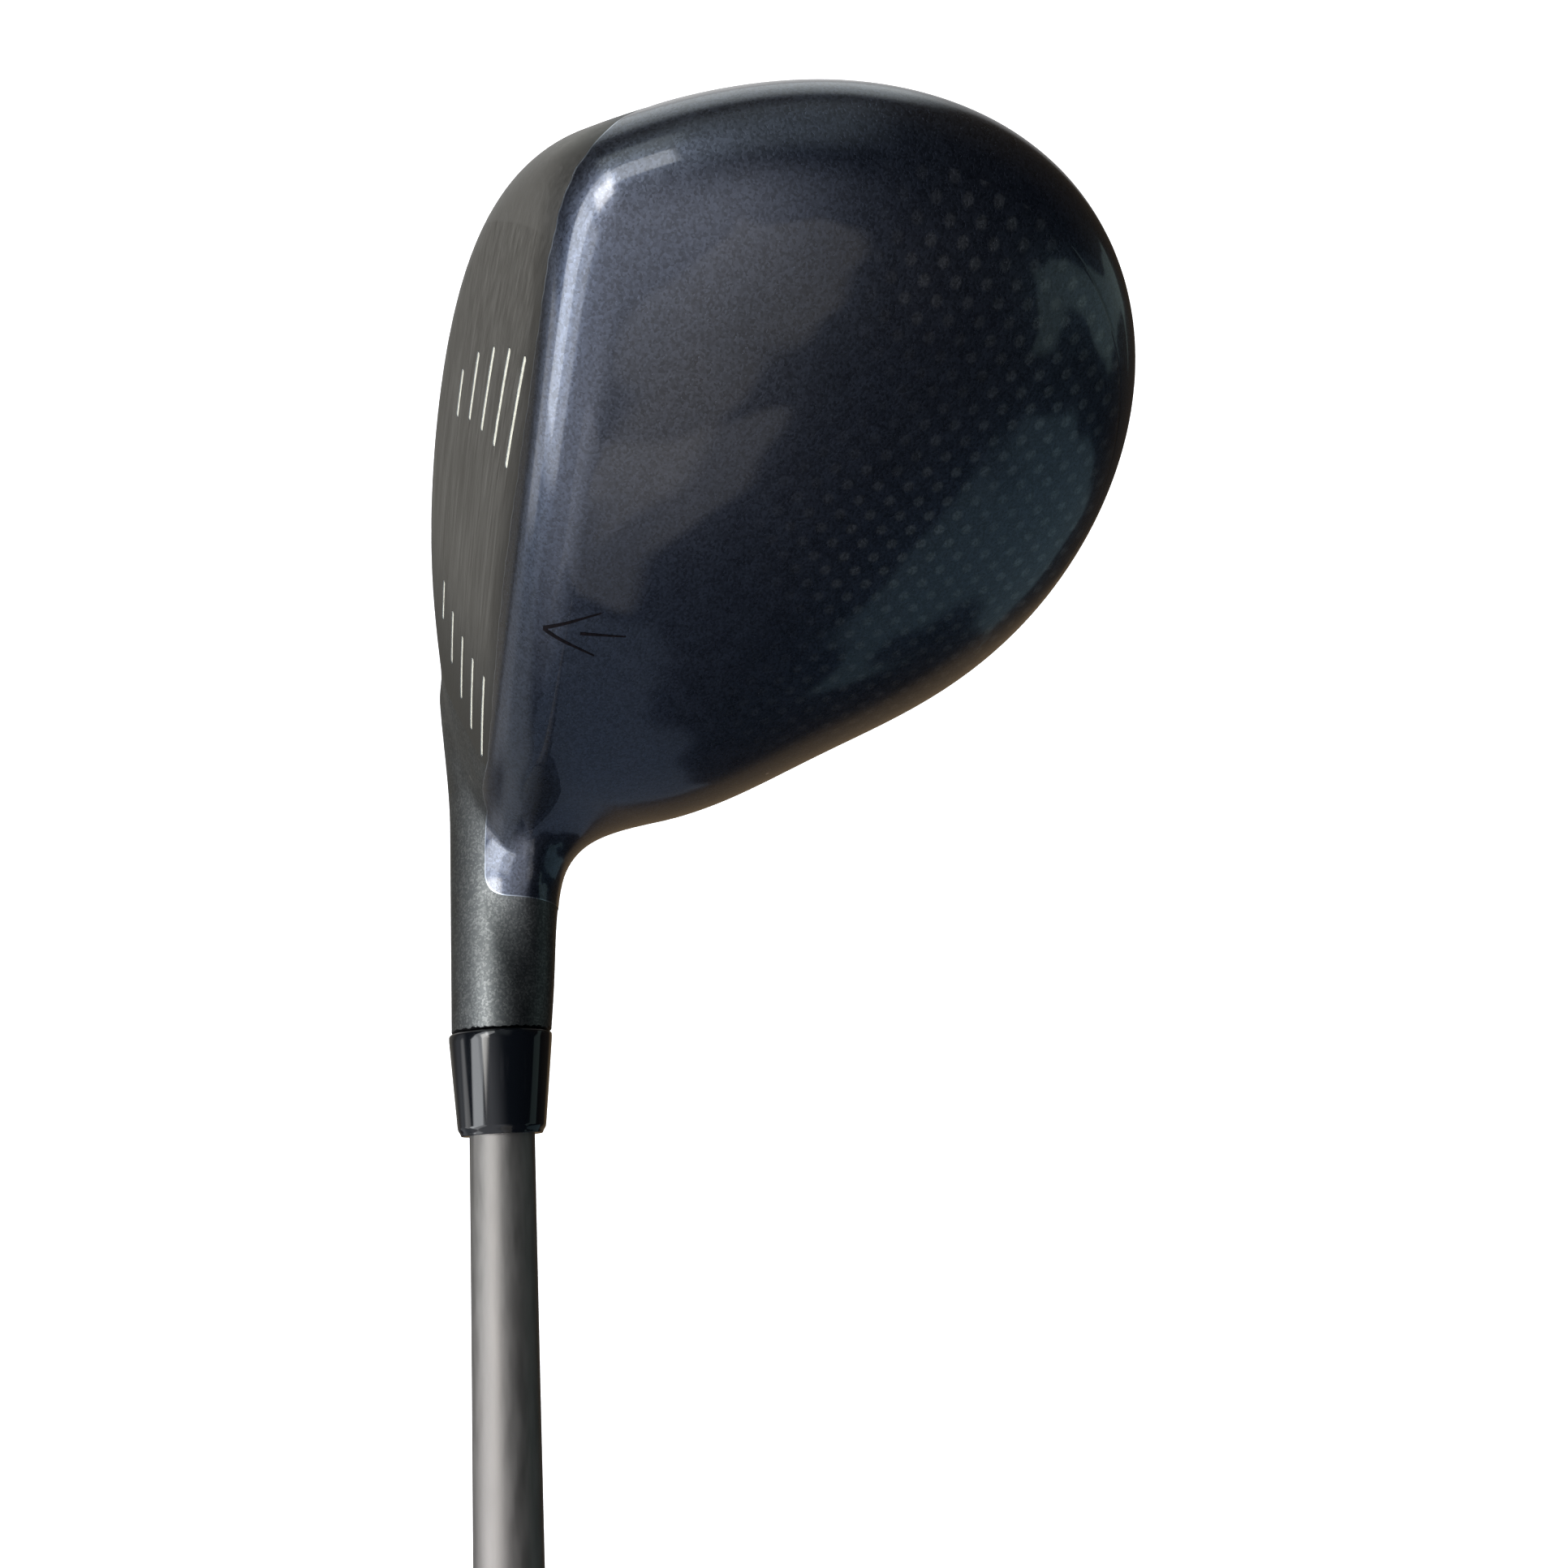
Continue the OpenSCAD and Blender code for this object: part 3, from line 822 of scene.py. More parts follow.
def brushed_face():
    """Warm grey steel, brushed heel to toe between two arcs and left satin beyond them, with painted shade
    below the paint line and along the grooves.
    """
    look = Look("brushed_face")
    turn = (LOFT, 0, 0)
    lines = look.noise(2600, 3, look.stretched((0.03, 1, 1), turn), 0.7)
    broad = look.noise(260, 2, look.stretched((0.06, 1, 1), turn))
    inside = look.span(look.value("brushed"), -0.2, 0.2, 1, 0, True)
    streak = look.times(look.vary(lines, -1, 1), inside)
    base = look.mix(inside, (0.235, 0.230, 0.216), (0.172, 0.167, 0.155))
    swell = look.times(look.math("SUBTRACT", broad, 0.5), 0.35)
    shade = look.span(look.plus(look.times(streak, 0.42), swell), -0.6, 0.6)
    colour = look.mix(0.55, base, look.mix(shade, (0.078, 0.074, 0.067), (0.290, 0.281, 0.258)))
    # painted shade: darker on the score grooves' walls and along their rims
    edge = look.span(look.math("ABSOLUTE", look.value("groove")), 0.0, 0.12, 0.5, 0, True)
    colour = look.mix(edge, colour, (0.03, 0.028, 0.025))
    # painted shade: the steel darkens within 4.5 mm of the paint line, so the face's rounded top edge shows
    # no reflection of the window
    painted_shade_near_paint = look.span(look.value("coat"), 0, 4.5, 0.8, 0, True)
    colour = look.mix(painted_shade_near_paint, colour, (0.065, 0.063, 0.059))
    heel = look.span(look.axis(look.place, "X"), 0.008, 0.033, 0, 1, True)
    colour = look.mix(heel, colour, (0.125, 0.129, 0.128))
    rough = look.vary(lines, 0.37, 0.51)
    rough = look.plus(rough, look.times(heel, look.math("SUBTRACT", 0.345, rough)))
    look.set(Metallic=look.span(heel, 0, 1, 0.78, 1.0))
    return look.done(colour, rough, streak, 0.000012, 0.5)


def line_paint():
    look = Look("line_paint")
    worn = look.noise(1800, 3)
    colour = look.mix(look.span(worn, 0.35, 0.75), (0.80, 0.78, 0.66), (0.58, 0.56, 0.46))
    return look.done(colour, 0.55, worn, 0.00002, 0.3)


def mark_ink():
    look = Look("mark_ink", Specular_IOR_Level=0.15)
    worn = look.noise(2200, 2)
    colour = look.mix(look.span(worn, 0.35, 0.7), (0.0015, 0.001, 0.002), (0.006, 0.003, 0.005))
    return look.done(colour, look.vary(worn, 0.35, 0.6))


def ferrule_plastic():
    look = Look("ferrule_plastic", Coat_Weight=0.8, Coat_Roughness=0.02, Specular_IOR_Level=0.1)
    swirl = look.noise(1200, 2, look.stretched((1, 1, 0.2)))
    rub = look.times(look.span(look.noise(500, 3, look.stretched((1, 1, 0.08))), 0.60, 0.70), 0.25)
    colour = look.mix(rub, (0.004, 0.005, 0.007), (0.04, 0.04, 0.044))
    return look.done(colour, look.vary(swirl, 0.10, 0.2), swirl, 0.00001, 0.15)


def shaft_paint():
    """Warm grey satin over graphite: soft mottling drawn out along the shaft."""
    look = Look("shaft_paint", Metallic=0.85)
    grain = look.noise(900, 3, look.stretched((1, 1, 0.18)))
    cloud = look.noise(120, 3, look.stretched((1, 1, 0.15)))
    colour = look.mix(look.vary(grain), (0.185, 0.178, 0.168), (0.265, 0.255, 0.243))
    colour = look.mix(look.span(cloud, 0.35, 0.7, 0, 0.5), colour, (0.24, 0.215, 0.205))
    return look.done(colour, look.vary(grain, 0.45, 0.57), grain, 0.00001, 0.3)


def band_foil():
    look = Look("band_foil", Metallic=0.8, Coat_Weight=0.5, Coat_Roughness=0.1)
    height = look.axis(look.place, "Z")
    wave = look.math("FRACT", look.times(height, 1 / (10 * MM)))
    bar = look.times(look.span(wave, 0.10, 0.14, 0, 1), look.span(wave, 0.36, 0.40, 1, 0))
    grain = look.noise(800, 3, look.stretched((1, 1, 0.15)))
    colour = look.mix(bar, (0.42, 0.42, 0.43), (0.05, 0.06, 0.10))
    colour = look.mix(look.vary(grain, 0, 0.25), colour, (0.3, 0.3, 0.31))
    return look.done(colour, look.vary(grain, 0.28, 0.4))


def grip_rubber(name="grip_rubber", shade=0.018):
    look = Look(name, Specular_IOR_Level=0.35)
    pore = look.noise(2400, 3)
    dust = look.span(look.noise(60, 4), 0.5, 0.75, 0, 0.35)
    dark, light = (shade,) * 3, (1.9 * shade, 1.9 * shade, 1.85 * shade)
    colour = look.mix(look.span(pore, 0.35, 0.7), dark, light)
    colour = look.mix(dust, colour, (0.05, 0.049, 0.047))
    return look.done(colour, look.vary(pore, 0.62, 0.82), pore, 0.00006, 0.5)


def machined(name, light, dark, roughness, rings=True):
    """Turned metal with fine rings round the piece's own Z axis, or plain fine grain."""
    look = Look(name, Metallic=0.95)
    if rings:
        inputs = {"Vector": look.place, "Scale": 700, "Distortion": 0.6}
        wave = look.node("TexWave", inputs, wave_type="RINGS", rings_direction="Z")
        marks = wave.outputs["Fac"]
    else:
        marks = look.noise(1600, 3)
    stain = look.noise(180, 4)
    colour = look.mix(look.span(stain, 0.5, 0.75, 0, 0.4), look.mix(marks, dark, light), dark)
    return look.done(colour, look.vary(stain, roughness, roughness + 0.15), marks, 0.00001, 0.3)


def badge_enamel():
    look = Look("badge_enamel", Metallic=0.5, Coat_Weight=0.8, Coat_Roughness=0.05)
    flake = look.axis(look.cells(2600), "X")
    colour = look.mix(look.span(flake, 0.2, 1.0), (0.018, 0.026, 0.060), (0.05, 0.065, 0.12))
    return look.done(colour, look.vary(look.noise(300, 2), 0.3, 0.45))


def plain_grain(name, light, dark, scale, roughness, metallic=0.0):
    """A hidden piece's material: two tones, uneven gloss and a fine bump."""
    look = Look(name, Metallic=metallic)
    cloud = look.noise(scale, 4)
    rough = look.vary(cloud, roughness, min(1.0, roughness + 0.2))
    return look.done(look.mix(look.vary(cloud), dark, light), rough, cloud, 0.00003, 0.4)


# ---------------------------------------------------------------- pieces of the head
HEAD_SHADES = {"seam": crown_outline, "coat": paint_outline}


def face_brush_outline(p):
    """Beyond this arc at the toe, and its like at the heel, the face isn't brushed."""
    u, v = face_coords(p)
    toe = -33.5 - 0.62 * (v + 9) + 0.012 * (v + 9) ** 2
    return np.maximum(toe - u, u - 33)


def make_head():
    paint, crown_paint = navy_paint("navy_edge", False), navy_paint("navy_crown", True)
    skin = head_skin()
    points = skin[0]
    normals = head_normals(points)
    up_tube = np.clip((station(points) - 18) / 8, 0, 1) * (hosel_gap(points) < 1.0)
    smooth = up_tube * up_tube * (3 - 2 * up_tube)
    body_wall = BODY_WALL + (HOSEL_R - BORE_R - BODY_WALL) * smooth
    make_crown(skin, normals, crown_paint)
    make_cup(skin, normals, paint, brushed_face())
    make_body(skin, normals, body_wall, paint, satin_black())
    make_badge(skin, normals)


def make_crown(skin, normals, paint):
    shell = Shell(skin, normals, np.full(len(skin[0]), CROWN_WALL))
    top = shell.skin(["crown"], 0.0, 0)
    shell.inner(["crown"], 0)
    shell.close(open_edges(top), 0.0, 0)
    crown = shell.build("crown", HEAD_SHADES)
    add_piece(crown, "root", "crown", [paint], "crown_panel")


def make_cup(skin, normals, paint, steel):
    shell = Shell(skin, normals, np.full(len(skin[0]), CUP_WALL))
    levels = [
        (shell.skin(["cup_paint"], 0.0, 0), 0.0),
        (shell.skin(["cup_bare"], BARE_STEP, 1), BARE_STEP),
        (shell.skin(["cup_line"], GROOVE_DEPTH, 1), GROOVE_DEPTH),
    ]
    shell.steps(levels, 0)
    shell.inner(["cup_paint", "cup_bare", "cup_line"], 1)
    for edges, depth in shell.outer_rim(levels):
        shell.close(edges, depth, 1)
    shades = dict(HEAD_SHADES, brushed=face_brush_outline, groove=lines_outline)
    cup = shell.build("face", shades)
    add_piece(cup, "root", "face", [paint, steel], "face_cup")


def make_body(skin, normals, wall, paint, black):
    shell = Shell(skin, normals, wall)
    levels = [
        (shell.skin(["body_paint"], 0.0, 0), 0.0),
        (shell.skin(["body_bare", "port_lip"], BARE_STEP, 1), BARE_STEP),
        (shell.skin(["badge"], BADGE_DEPTH, 1), BADGE_DEPTH),
    ]
    shell.steps(levels, 1)
    lined = ["body_paint", "body_bare", "badge"]
    shell.inner(lined, 1)
    for edges, depth in shell.outer_rim(levels):
        middle = shell.points[edges].mean(1)
        at_port = port_outline(middle, POCKET_R + 1) < 0
        at_hosel = station(middle) > HOSEL_TOP - 1
        plain = edges[~at_port & ~at_hosel]
        if len(plain):
            shell.close(plain, depth, 1)
        if at_hosel.any():
            close_hosel(shell, edges[at_hosel], depth)
        if at_port.any():
            sink_pocket(shell, edges[at_port], depth)
    raise_boss(shell, lined)
    add_piece(shell.build("body", HEAD_SHADES), "root", "body", [paint, black], "head_body")


def close_hosel(shell, edges, depth):
    """The hosel's flat top, from its outer skin by way of a small bevel to the bore."""
    vertex, place = numbered(edges)
    inset = HOSEL_BEVEL * SHAFT_DIR - (HOSEL_BEVEL + SKIN_GAP) * shell.normals[vertex]
    lip = shell.extra(shell.points[vertex] + inset)[place[edges]]
    shell.ribbon(shell.at(edges, depth), lip, 1)
    shell.ribbon(lip, shell.at(edges, None), 1)


def sink_pocket(shell, edges, depth):
    """The weight's pocket and the hole below it for the screw."""
    low = POCKET_DEPTH
    rings = [(POCKET_R, 0.9), (POCKET_R, low), (THREAD_R, low), (THREAD_R, low + THREAD_DEPTH)]
    shell.turned(edges, shell.at(edges, depth), rings, 1)


def raise_boss(shell, zones):
    """The outside of the pocket and of the screw's hole, standing up inside the head."""
    rim = open_edges(shell.tris[np.isin(shell.zone, zones)])[:, ::-1]
    rim = np.array(sorted(rim.tolist()), int)
    rim = rim[port_outline(shell.points[rim].mean(1), POCKET_R + BOSS_WALL + 1) < 0]
    low = POCKET_DEPTH + BOSS_WALL
    end = low + THREAD_DEPTH - 0.6
    rings = [(POCKET_R + BOSS_WALL, low), (THREAD_BOSS_R, low), (THREAD_BOSS_R, end)]
    shell.turned(rim, shell.at(rim, None), rings, 1)


def make_badge(skin, normals):
    """A thin enamelled plate in the sole's recess, with two raised bars."""
    shell = Shell(skin, normals, np.full(len(skin[0]), BADGE_DEPTH - 0.02))
    top = shell.skin(["badge"], BADGE_FACE, 0)
    shell.inner(["badge"], 0)
    shell.close(open_edges(top), BADGE_FACE, 0)
    plate = shell.build("badge_plate", {})
    add_piece(plate, "root", "badge", [badge_enamel()], "sole_badge")
    bars = []
    for offset in (-2.4, 2.4):
        x = np.linspace(-BAR_HALF, BAR_HALF, 40)
        centre = np.stack([x, np.full_like(x, BADGE_Y + offset), np.full_like(x, 0.8)], -1)
        taper = np.sqrt(np.clip(1 - (np.abs(x) / (BAR_HALF + 0.02)) ** 12, 0, 1))
        bars.append(strip_on_head(centre, taper[:, None] * np.array([0, 0.5, 0]), 0.02, 0.3))
    metal = machined("bar_metal", (0.55, 0.55, 0.56), (0.35, 0.35, 0.36), 0.25, False)
    add_piece(join_strips("badge_bars", bars), "root", "weight_metal", [metal])


def make_score_lines():
    """Cream paint in the face's grooves, with round ends."""
    strips = []
    r = LINE_WIDTH / 2 - 0.01
    for inner, outer, height in score_lines_uv():
        low, high = sorted((inner, outer))
        turn = np.linspace(0, math.pi / 2, 6)
        straight = np.linspace(low + r, high - r, 24)[1:-1]
        u = np.concatenate([low + r - r * np.cos(turn), straight, high - r + r * np.sin(turn)])
        width = np.concatenate([r * np.sin(turn), np.full(len(straight), r), r * np.cos(turn)])
        centre = FACE_CENTRE + u[:, None] * np.array([1.0, 0, 0]) + height * FACE_UP
        strips.append(strip_on_head(centre, np.clip(width, 0.01, r)[:, None] * FACE_UP, 0.2, 0.45))
    lines = join_strips("line_fill", strips)
    add_piece(lines, "root", "line_paint", [line_paint()], "score_lines")


def make_mark():
    """A plain printed chevron with a short bar behind it, on the front of the crown."""
    tip = np.array([3.2, -18.4, 36.0])
    share = np.linspace(0, 1, 32)[:, None]
    narrowing = (1.1 - 0.7 * share) * np.array([1, 0, 0])
    strips = []
    for side in (-1, 1):
        arm = tip + share * np.array([side * 3.1, 6.4, 0])
        strips.append(strip_on_head(arm, 0.26 * narrowing, -0.012, 0.05))
    bar = tip + np.array([0, 4.4, 0]) + share * np.array([0, 5.2, 0])
    strips.append(strip_on_head(bar, 0.2 * narrowing, -0.012, 0.05))
    mark = join_strips("aiming_mark", strips)
    add_piece(mark, "root", "crown", [mark_ink()])


# ---------------------------------------------------------------- pieces on the shaft's axis
TIP_R = 4.25
BUTT_R = 7.6
SHAFT_LOW = 22.0
SHAFT_HIGH = 1088.0
TAPER_LOW = 85.0
SHAFT_WALL = 1.6
FERRULE_L = 13.3
BAND_LOW = 560.0
BAND_L = 60.0
GRIP_LOW = 825.0
GRIP_HIGH = 1087.0
CLUB_L = 1092.0
TAPE = 0.2
CAP_R = 14.2
VENT_R = 1.5


def shaft_radius(s):
    return TIP_R + max(0.0, s - TAPER_LOW) / (SHAFT_HIGH - TAPER_LOW) * (BUTT_R - TIP_R)


def shaft_piece(name, corners, slot, look, node, turns=96, bend=35, ripple=None):
    """A piece turned round the shaft's axis, from the corners of its outline."""
    thing = turned_piece(name, round_profile(corners), turns, bend, ripple)
    thing.matrix_world = SHAFT_FRAME
    add_piece(thing, "root", slot, [look], node)


def make_ferrule():
    top = HOSEL_TOP + FERRULE_L
    corners = [
        (TIP_R, HOSEL_TOP, 0), (6.5, HOSEL_TOP, 0),
        (6.78, HOSEL_TOP + 0.25, 0.12), (6.78, HOSEL_TOP + 0.9, 0.3),
        (5.75, top - 0.9, 0.25), (5.42, top - 0.35, 0.12),
        (5.30, top, 0.12), (TIP_R, top, 0),
    ]
    wobble = np.random.default_rng(SEED).normal(0, 1, 6)

    def worn(radius, height, angle):
        low = np.exp(-(((height - HOSEL_TOP) / 0.5) ** 2))
        wave = sum(w * np.sin((k + 2) * angle + w) for k, w in enumerate(wobble))
        return -0.03 * low * np.abs(wave) * (radius > 6)

    shaft_piece("ferrule_ring", corners, "ferrule", ferrule_plastic(), "ferrule", 160, 30, worn)


def make_shaft():
    outside = [(shaft_radius(s), s, 0) for s in np.linspace(SHAFT_LOW, SHAFT_HIGH, 60)]
    bore = TIP_R - SHAFT_WALL
    inside = [(BUTT_R - SHAFT_WALL, SHAFT_HIGH, 0), (bore, TAPER_LOW, 0), (bore, SHAFT_LOW, 0)]
    shaft_piece("shaft_tube", outside + inside, "shaft", shaft_paint(), "shaft")


def make_band():
    rows = np.linspace(BAND_LOW, BAND_LOW + BAND_L, 12)
    outside = [(shaft_radius(s) + 0.1, s, 0) for s in rows]
    inside = [(shaft_radius(s) + 0.005, s, 0) for s in rows[::-1]]
    shaft_piece("shaft_rings", outside + inside, "band", band_foil(), "shaft_band")


def grip_radius(s):
    """The grip's outside: a soft mouth, a straight taper and a flare at the butt."""
    rise = np.clip((s - GRIP_LOW) / (GRIP_HIGH - 22 - GRIP_LOW), 0, 1)
    flare = np.clip((s - GRIP_HIGH + 26) / 22, 0, 1)
    return 9.8 + 3.1 * rise + 1.25 * flare * flare * (3 - 2 * flare)


def grip_pattern(radius, height, angle):
    """Moulded diamonds in two zones, plain bands between them and fine rings at both ends."""
    outer = radius > grip_radius(height) - 0.9
    turns, pitch = 14, 9.0
    left = np.abs(((height / pitch + turns * angle / (2 * math.pi)) % 1) - 0.5)
    right = np.abs(((height / pitch - turns * angle / (2 * math.pi)) % 1) - 0.5)
    groove = np.clip((0.13 - np.minimum(left, right)) / 0.06, 0, 1)
    share = (height - GRIP_LOW) / (GRIP_HIGH - GRIP_LOW)

    def within(*zones):
        return sum((share > low) & (share < high) for low, high in zones)

    zone = within((0.10, 0.46), (0.52, 0.90))
    rings = within((0.03, 0.08), (0.475, 0.505), (0.91, 0.955))
    ring = np.clip(np.sin(2 * math.pi * height / 3.0) * 2, 0, 1)
    return -0.35 * outer * (zone * groove + rings * ring * 0.8)


def make_grip():
    rows = np.arange(GRIP_LOW + 2.2, GRIP_HIGH - 0.6, 0.75)
    bore = shaft_radius(GRIP_LOW) + TAPE
    outside = [(bore + 0.02, GRIP_LOW, 0), (8.4, GRIP_LOW, 0.4), (9.35, GRIP_LOW + 1.0, 0.4)]
    outside += [(float(grip_radius(s)), s, 0) for s in rows] + [(CAP_R - 0.05, GRIP_HIGH, 0)]
    inside = [(shaft_radius(SHAFT_HIGH) + TAPE, GRIP_HIGH, 0)]
    corners = outside + inside
    shaft_piece("grip_sleeve", corners, "grip", grip_rubber(), "grip", 168, 50, grip_pattern)


def make_grip_cap():
    """The butt cap, with a ring groove in its end and a vent hole."""
    skirt = shaft_radius(SHAFT_HIGH) + TAPE
    rim = CAP_R - 0.05
    groove = CLUB_L - 0.45
    corners = [
        (VENT_R, SHAFT_HIGH, 0), (skirt, SHAFT_HIGH, 0), (skirt, GRIP_HIGH, 0),
        (rim, GRIP_HIGH, 0), (rim, GRIP_HIGH + 2.6, 0.9), (CAP_R - 2.4, CLUB_L, 1.2),
        (9.6, CLUB_L, 0.2), (9.3, groove, 0.2), (8.3, groove, 0.2), (8.0, CLUB_L, 0.2),
        (VENT_R + 0.5, CLUB_L, 0.2), (VENT_R, CLUB_L - 0.5, 0.2),
    ]
    look = grip_rubber("cap_rubber", 0.026)
    shaft_piece("grip_end", corners, "grip", look, "grip_cap", 120, 40)


# ---------------------------------------------------------------- sole weight
WEIGHT_R = 10.0
WEIGHT_T = 5.0
WEIGHT_SINK = 0.9
SCREW_HEAD_R = 4.35
SCREW_HOLE_R = 2.48


def make_weight():
    """The weight, with a knurled edge, a stepped face and a counterbore for the screw's head."""
    front, back = -WEIGHT_SINK, -WEIGHT_SINK - WEIGHT_T
    edge = WEIGHT_R - 0.02
    pit, ring_bed, groove, seat = back + 0.95, back + 1.25, front - 0.25, front - 2.5
    profile = round_profile([
        (SCREW_HOLE_R, pit, 0), (4.15, pit, 0), (4.15, back, 0.1), (6.45, back, 0.05),
        (6.45, ring_bed, 0), (8.15, ring_bed, 0), (8.15, back, 0.05), (WEIGHT_R - 0.6, back, 0.2),
        (edge, back + 0.6, 0.2), (edge, front - 0.4, 0.2), (WEIGHT_R - 0.4, front, 0.2),
        (8.6, front, 0.1), (8.3, groove, 0.1), (7.6, groove, 0.1), (7.3, front, 0.1),
        (SCREW_HEAD_R + 0.35, front, 0.15), (SCREW_HEAD_R, front - 0.35, 0.1),
        (SCREW_HEAD_R, seat, 0), (SCREW_HOLE_R, seat, 0),
    ])

    def knurl(radius, height, angle):
        side = (radius > WEIGHT_R - 0.1) & (height < front - 1.0) & (height > back + 0.8)
        return -0.12 * side * (0.5 + 0.5 * np.cos(80 * angle))

    weight = turned_piece("weight_disc", profile, 320, 30, knurl)
    weight.matrix_world = PORT_FRAME
    metal = machined("weight_steel", (0.40, 0.40, 0.42), (0.24, 0.24, 0.25), 0.22)
    add_piece(weight, "weight_carrier", "weight_metal", [metal], "sole_weight")


# ---------------------------------------------------------------- CAD nodes that stay
HIDDEN_LOOKS = {
    # node: material, light and dark tone, grain, roughness, metallic
    "crown_adhesive": ("film_adhesive", (0.10, 0.11, 0.10), (0.05, 0.055, 0.05), 400, 0.5),
    "hosel_epoxy": ("clear_epoxy", (0.55, 0.50, 0.30), (0.38, 0.33, 0.18), 300, 0.25),
    "hot_melt": ("melt_glue", (0.62, 0.50, 0.28), (0.45, 0.34, 0.16), 220, 0.3),
    "hosel_plug": ("plug_foam", (0.62, 0.56, 0.36), (0.40, 0.35, 0.20), 1500, 0.8),
    "internal_weight": ("cast_ballast", (0.30, 0.30, 0.31), (0.16, 0.16, 0.17), 500, 0.45, 0.9),
    "tip_weight": ("turned_brass", (0.66, 0.48, 0.20), (0.46, 0.31, 0.12), 700, 0.28, 1.0),
    "grip_tape": ("paper_tape", (0.62, 0.57, 0.42), (0.50, 0.45, 0.32), 900, 0.8),
    "weight_oring": ("ring_rubber", (0.025, 0.025, 0.026), (0.012, 0.012, 0.013), 1200, 0.55),
    "screw_retainer": ("clip_steel", (0.55, 0.55, 0.56), (0.35, 0.35, 0.36), 900, 0.3, 1.0),
}


def dress_cad_nodes():
    looks = {node: plain_grain(*settings) for node, settings in HIDDEN_LOOKS.items()}
    light, dark = (0.12, 0.12, 0.125), (0.05, 0.05, 0.052)
    looks["weight_screw"] = machined("screw_steel", light, dark, 0.26, False)
    for name, look in looks.items():
        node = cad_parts[name]
        node.data.materials.clear()
        node.data.materials.append(look)
    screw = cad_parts["weight_screw"]
    edge = screw.modifiers.new("edge", "BEVEL")
    edge.width = 0.12 * MM
    edge.segments = 2
    edge.limit_method = "ANGLE"
    edge.angle_limit = math.radians(50)


# ---------------------------------------------------------------- camera, floor and light
CAMERA_PLACE = Vector((-103.87, -42.01, 173.42)) * MM
CAMERA_RIGHT = Vector((-0.20922, 0.95726, 0.1997))
CAMERA_BACK = Vector((-0.65817, -0.28889, 0.69524))
CAMERA_LENS = 35.4
FLOOR_Z = -0.16
DOME_R = 12


def make_camera():
    data = bpy.data.cameras.new("camera")
    data.lens = CAMERA_LENS
    data.sensor_width = 36
    data.clip_start = 0.01
    data.clip_end = 100
    camera = bpy.data.objects.new("camera", data)
    back = CAMERA_BACK.normalized()
    up = back.cross(CAMERA_RIGHT).normalized()
    right = up.cross(back)
    turn = Matrix((right, up, back)).transposed().to_4x4()
    camera.matrix_world = Matrix.Translation(CAMERA_PLACE) @ turn
    bpy.context.scene.collection.objects.link(camera)
    bpy.context.scene.camera = camera


def disc(name, rings, turns=64):
    """A round sheet through (radius, height) rings round the Z axis."""
    angle = np.arange(turns) * 2 * math.pi / turns
    verts = [[0, 0, rings[0][1]]]
    for radius, height in rings[1:]:
        verts += [[radius * math.cos(a), radius * math.sin(a), height] for a in angle]
    j = np.arange(turns)
    beside = (j + 1) % turns
    faces = [np.c_[np.zeros(turns, int), 1 + j, 1 + beside]]
    for i in range(1, len(rings) - 1):
        low, high = 1 + (i - 1) * turns, 1 + i * turns
        faces.append(np.c_[low + j, high + j, high + beside, low + beside])
    return build_mesh(name, np.array(verts, float), faces)


def make_floor():
    """A pale one-sided floor in a pale dome, which only the camera sees."""
    floor = disc("floor", [(0, FLOOR_Z), (0.5, FLOOR_Z), (2, FLOOR_Z), (11, FLOOR_Z)])
    arc = [math.radians(d) for d in range(-85, 90, 10)]
    sides = [(DOME_R * math.cos(a), DOME_R * math.sin(a)) for a in arc]
    dome = disc("dome", [(0, -DOME_R)] + sides + [(0.01, DOME_R)])
    for thing in (floor, dome):
        thing.visible_glossy = False
        thing.visible_diffuse = False
        thing.visible_shadow = False
    dome.data.materials.append(pale_paper("pale_floor", Specular_IOR_Level=0.1).material)
    floor.data.materials.append(one_sided(pale_paper("floor_top")))


def pale_paper(name, **settings):
    look = Look(name, Roughness=0.9, **settings)
    look.set(Emission_Color=(1.0, 1.0, 1.0), Emission_Strength=0.9)
    look.set(Base_Color=look.mix(look.noise(3, 3), (0.88, 0.88, 0.87), (0.92, 0.92, 0.92)))
    return look


def one_sided(made):
    """Leaves the back of a look clear, so that the sole can be seen from below."""
    share = made.node("NewGeometry").outputs["Backfacing"]
    clear = made.node("BsdfTransparent").outputs[0]
    both = made.node("MixShader", {0: share, 1: made.shader.outputs[0], 2: clear})
    made.put(made.tree.nodes["Material Output"].inputs["Surface"], both.outputs[0])
    return made.material


def direction(azimuth, elevation):
    a, e = math.radians(azimuth), math.radians(elevation)
    return Vector((math.cos(a) * math.cos(e), math.sin(a) * math.cos(e), math.sin(e)))


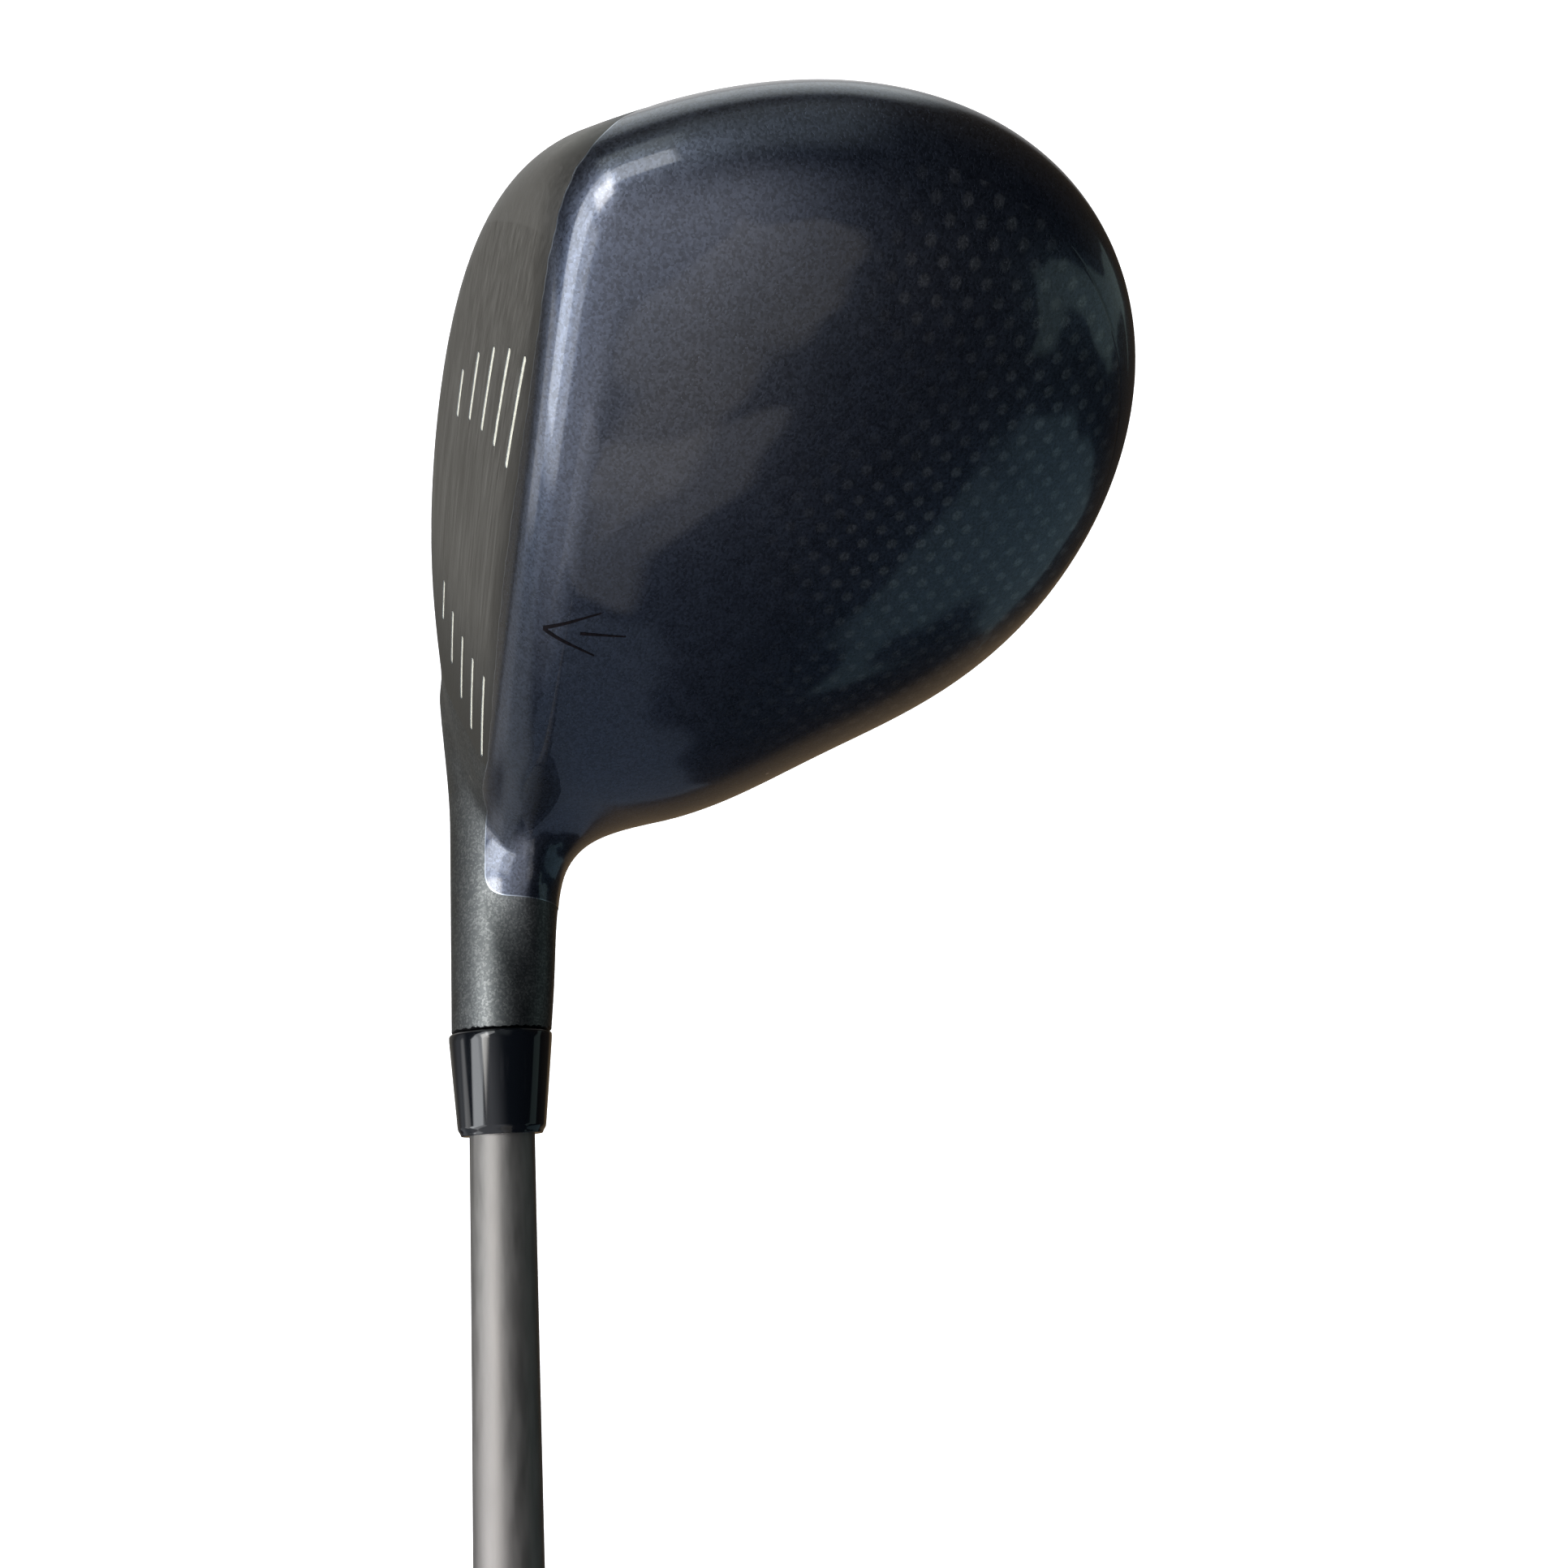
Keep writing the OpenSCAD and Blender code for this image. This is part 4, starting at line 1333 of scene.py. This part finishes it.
class Room(Graph):
    """The world: a dim room seen by direction, with soft-edged panels of light in it."""

    def __init__(self):
        self.world = bpy.data.worlds.new("studio")
        self.world.use_nodes = True
        super().__init__(self.world.node_tree, "Generated")
        self.wavy = self.warped(1.7, 0.42)

    def warped(self, scale, amount):
        """The direction looked in, pushed about by a noise."""
        inputs = {"Vector": self.place, "Scale": scale, "Detail": 2.5}
        swirl = self.node("TexNoise", inputs).outputs["Color"]
        inputs = {0: swirl, 1: (2 * amount,) * 3, 2: (-amount,) * 3}
        shift = self.node("VectorMath", inputs, operation="MULTIPLY_ADD").outputs[0]
        return self.node("VectorMath", {0: self.place, 1: shift}, operation="ADD").outputs[0]

    def panel(self, azimuth, elevation, half_wide, half_high, soft, place=None):
        """1 inside a panel and 0 outside; all in degrees."""
        ahead = direction(azimuth, elevation)
        side = direction(azimuth + 90, 0)
        over = ahead.cross(side)
        place = place or self.place
        x, y, z = (self.dot(place, tuple(v)) for v in (ahead, side, over))
        across = self.math("ABSOLUTE", self.math("ARCTAN2", y, x))
        flat = self.math("SQRT", self.plus(self.times(x, x), self.times(y, y)))
        upward = self.math("ABSOLUTE", self.math("ARCTAN2", z, flat))

        def within(angle, half):
            low, high = math.radians(half - soft), math.radians(half + soft)
            return self.span(angle, low, high, 1, 0, True)

        return self.times(within(across, half_wide), within(upward, half_high))

    def ramp(self, stops):
        """Brightness by elevation in degrees."""
        upward = self.math("ARCSINE", self.axis(self.place, "Z"))
        share = self.span(upward, -math.pi / 2, math.pi / 2)
        made = self.node("ValToRGB")
        elements = made.color_ramp.elements
        while len(elements) < len(stops):
            elements.new(0.5)
        for element, (elevation, colour) in zip(elements, stops):
            element.position = (elevation + 90) / 180
            element.color = (*colour, 1)
        self.put(made.inputs[0], share)
        return made.outputs[0]


ROOM_TONES = [
    # elevation, colour
    (-90, (0.70, 0.70, 0.70)),
    (-64, (0.50, 0.50, 0.50)),
    (-50, (0.04, 0.03, 0.02)),
    (-8, (0.035, 0.03, 0.027)),
    (10, (0.008, 0.011, 0.018)),
    (35, (0.005, 0.009, 0.016)),
    (64, (0.016, 0.018, 0.026)),
    (84, (0.10, 0.10, 0.10)),
]
ROOM_PANELS = [
    # azimuth, elevation, half width, half height, softness, wavy, colour
    (-92, 24.5, 24, 14.5, 2.5, False, (2.2, 2.25, 2.3)),
    (-108, 17, 35, 8, 1.2, False, (3.8, 3.95, 4.1)),
    (-149, 15.5, 10, 7, 1.2, False, (3.5, 3.6, 3.6)),
    (-134, 21, 8, 7, 2.5, False, (9.0, 8.8, 8.4)),
    (-72, 1, 11, 9, 3, False, (1.5, 1.5, 1.5)),
    (-102, 56, 42, 28, 16, False, (0.98, 0.99, 1.05)),
    (-148, -1, 12, 9, 4, False, (0.90, 0.98, 0.92)),
    (-44, 12, 27, 15, 6, False, (0.30, 0.32, 0.34)),
    (-62, -10, 28, 9, 6, False, (0.36, 0.38, 0.41)),
    (-50, -42, 34, 18, 8, False, (0.16, 0.155, 0.14)),
    (-172, -58, 28, 15, 7, False, (0.80, 0.86, 0.85)),
    (-174, 2, 20, 26, 9, False, (0.27, 0.30, 0.30)),
    (92, 14, 8, 26, 1.5, True, (0.18, 0.25, 0.24)),
    (56, 16, 13, 18, 1.5, True, (0.11, 0.17, 0.19)),
    (6, 30, 18, 22, 2, True, (0.12, 0.15, 0.20)),
    (-6, 68, 19, 10, 1.5, True, (0.40, 0.39, 0.39)),
    (84, 85, 22, 6, 2, True, (0.40, 0.37, 0.33)),
    (26, -18, 22, 24, 6, False, (0.13, 0.09, 0.05)),
]


def make_world():
    """A dark room, one wide window low on the face side and dim soft shapes behind the head."""
    room = Room()
    light = room.ramp(ROOM_TONES)
    for azimuth, elevation, wide, high, soft, wavy, colour in ROOM_PANELS:
        share = room.panel(azimuth, elevation, wide, high, soft, room.wavy if wavy else None)
        light = room.mix(1.0, light, room.mix(share, (0.0, 0.0, 0.0), colour), "ADD")
    room.put(room.tree.nodes["Background"].inputs["Color"], light)
    bpy.context.scene.world = room.world


# ---------------------------------------------------------------- the scene
bpy.context.scene.view_settings.view_transform = "Standard"
make_camera()
make_floor()
make_world()
make_head()
make_score_lines()
make_mark()
make_ferrule()
make_shaft()
make_band()
make_grip()
make_grip_cap()
make_weight()
dress_cad_nodes()
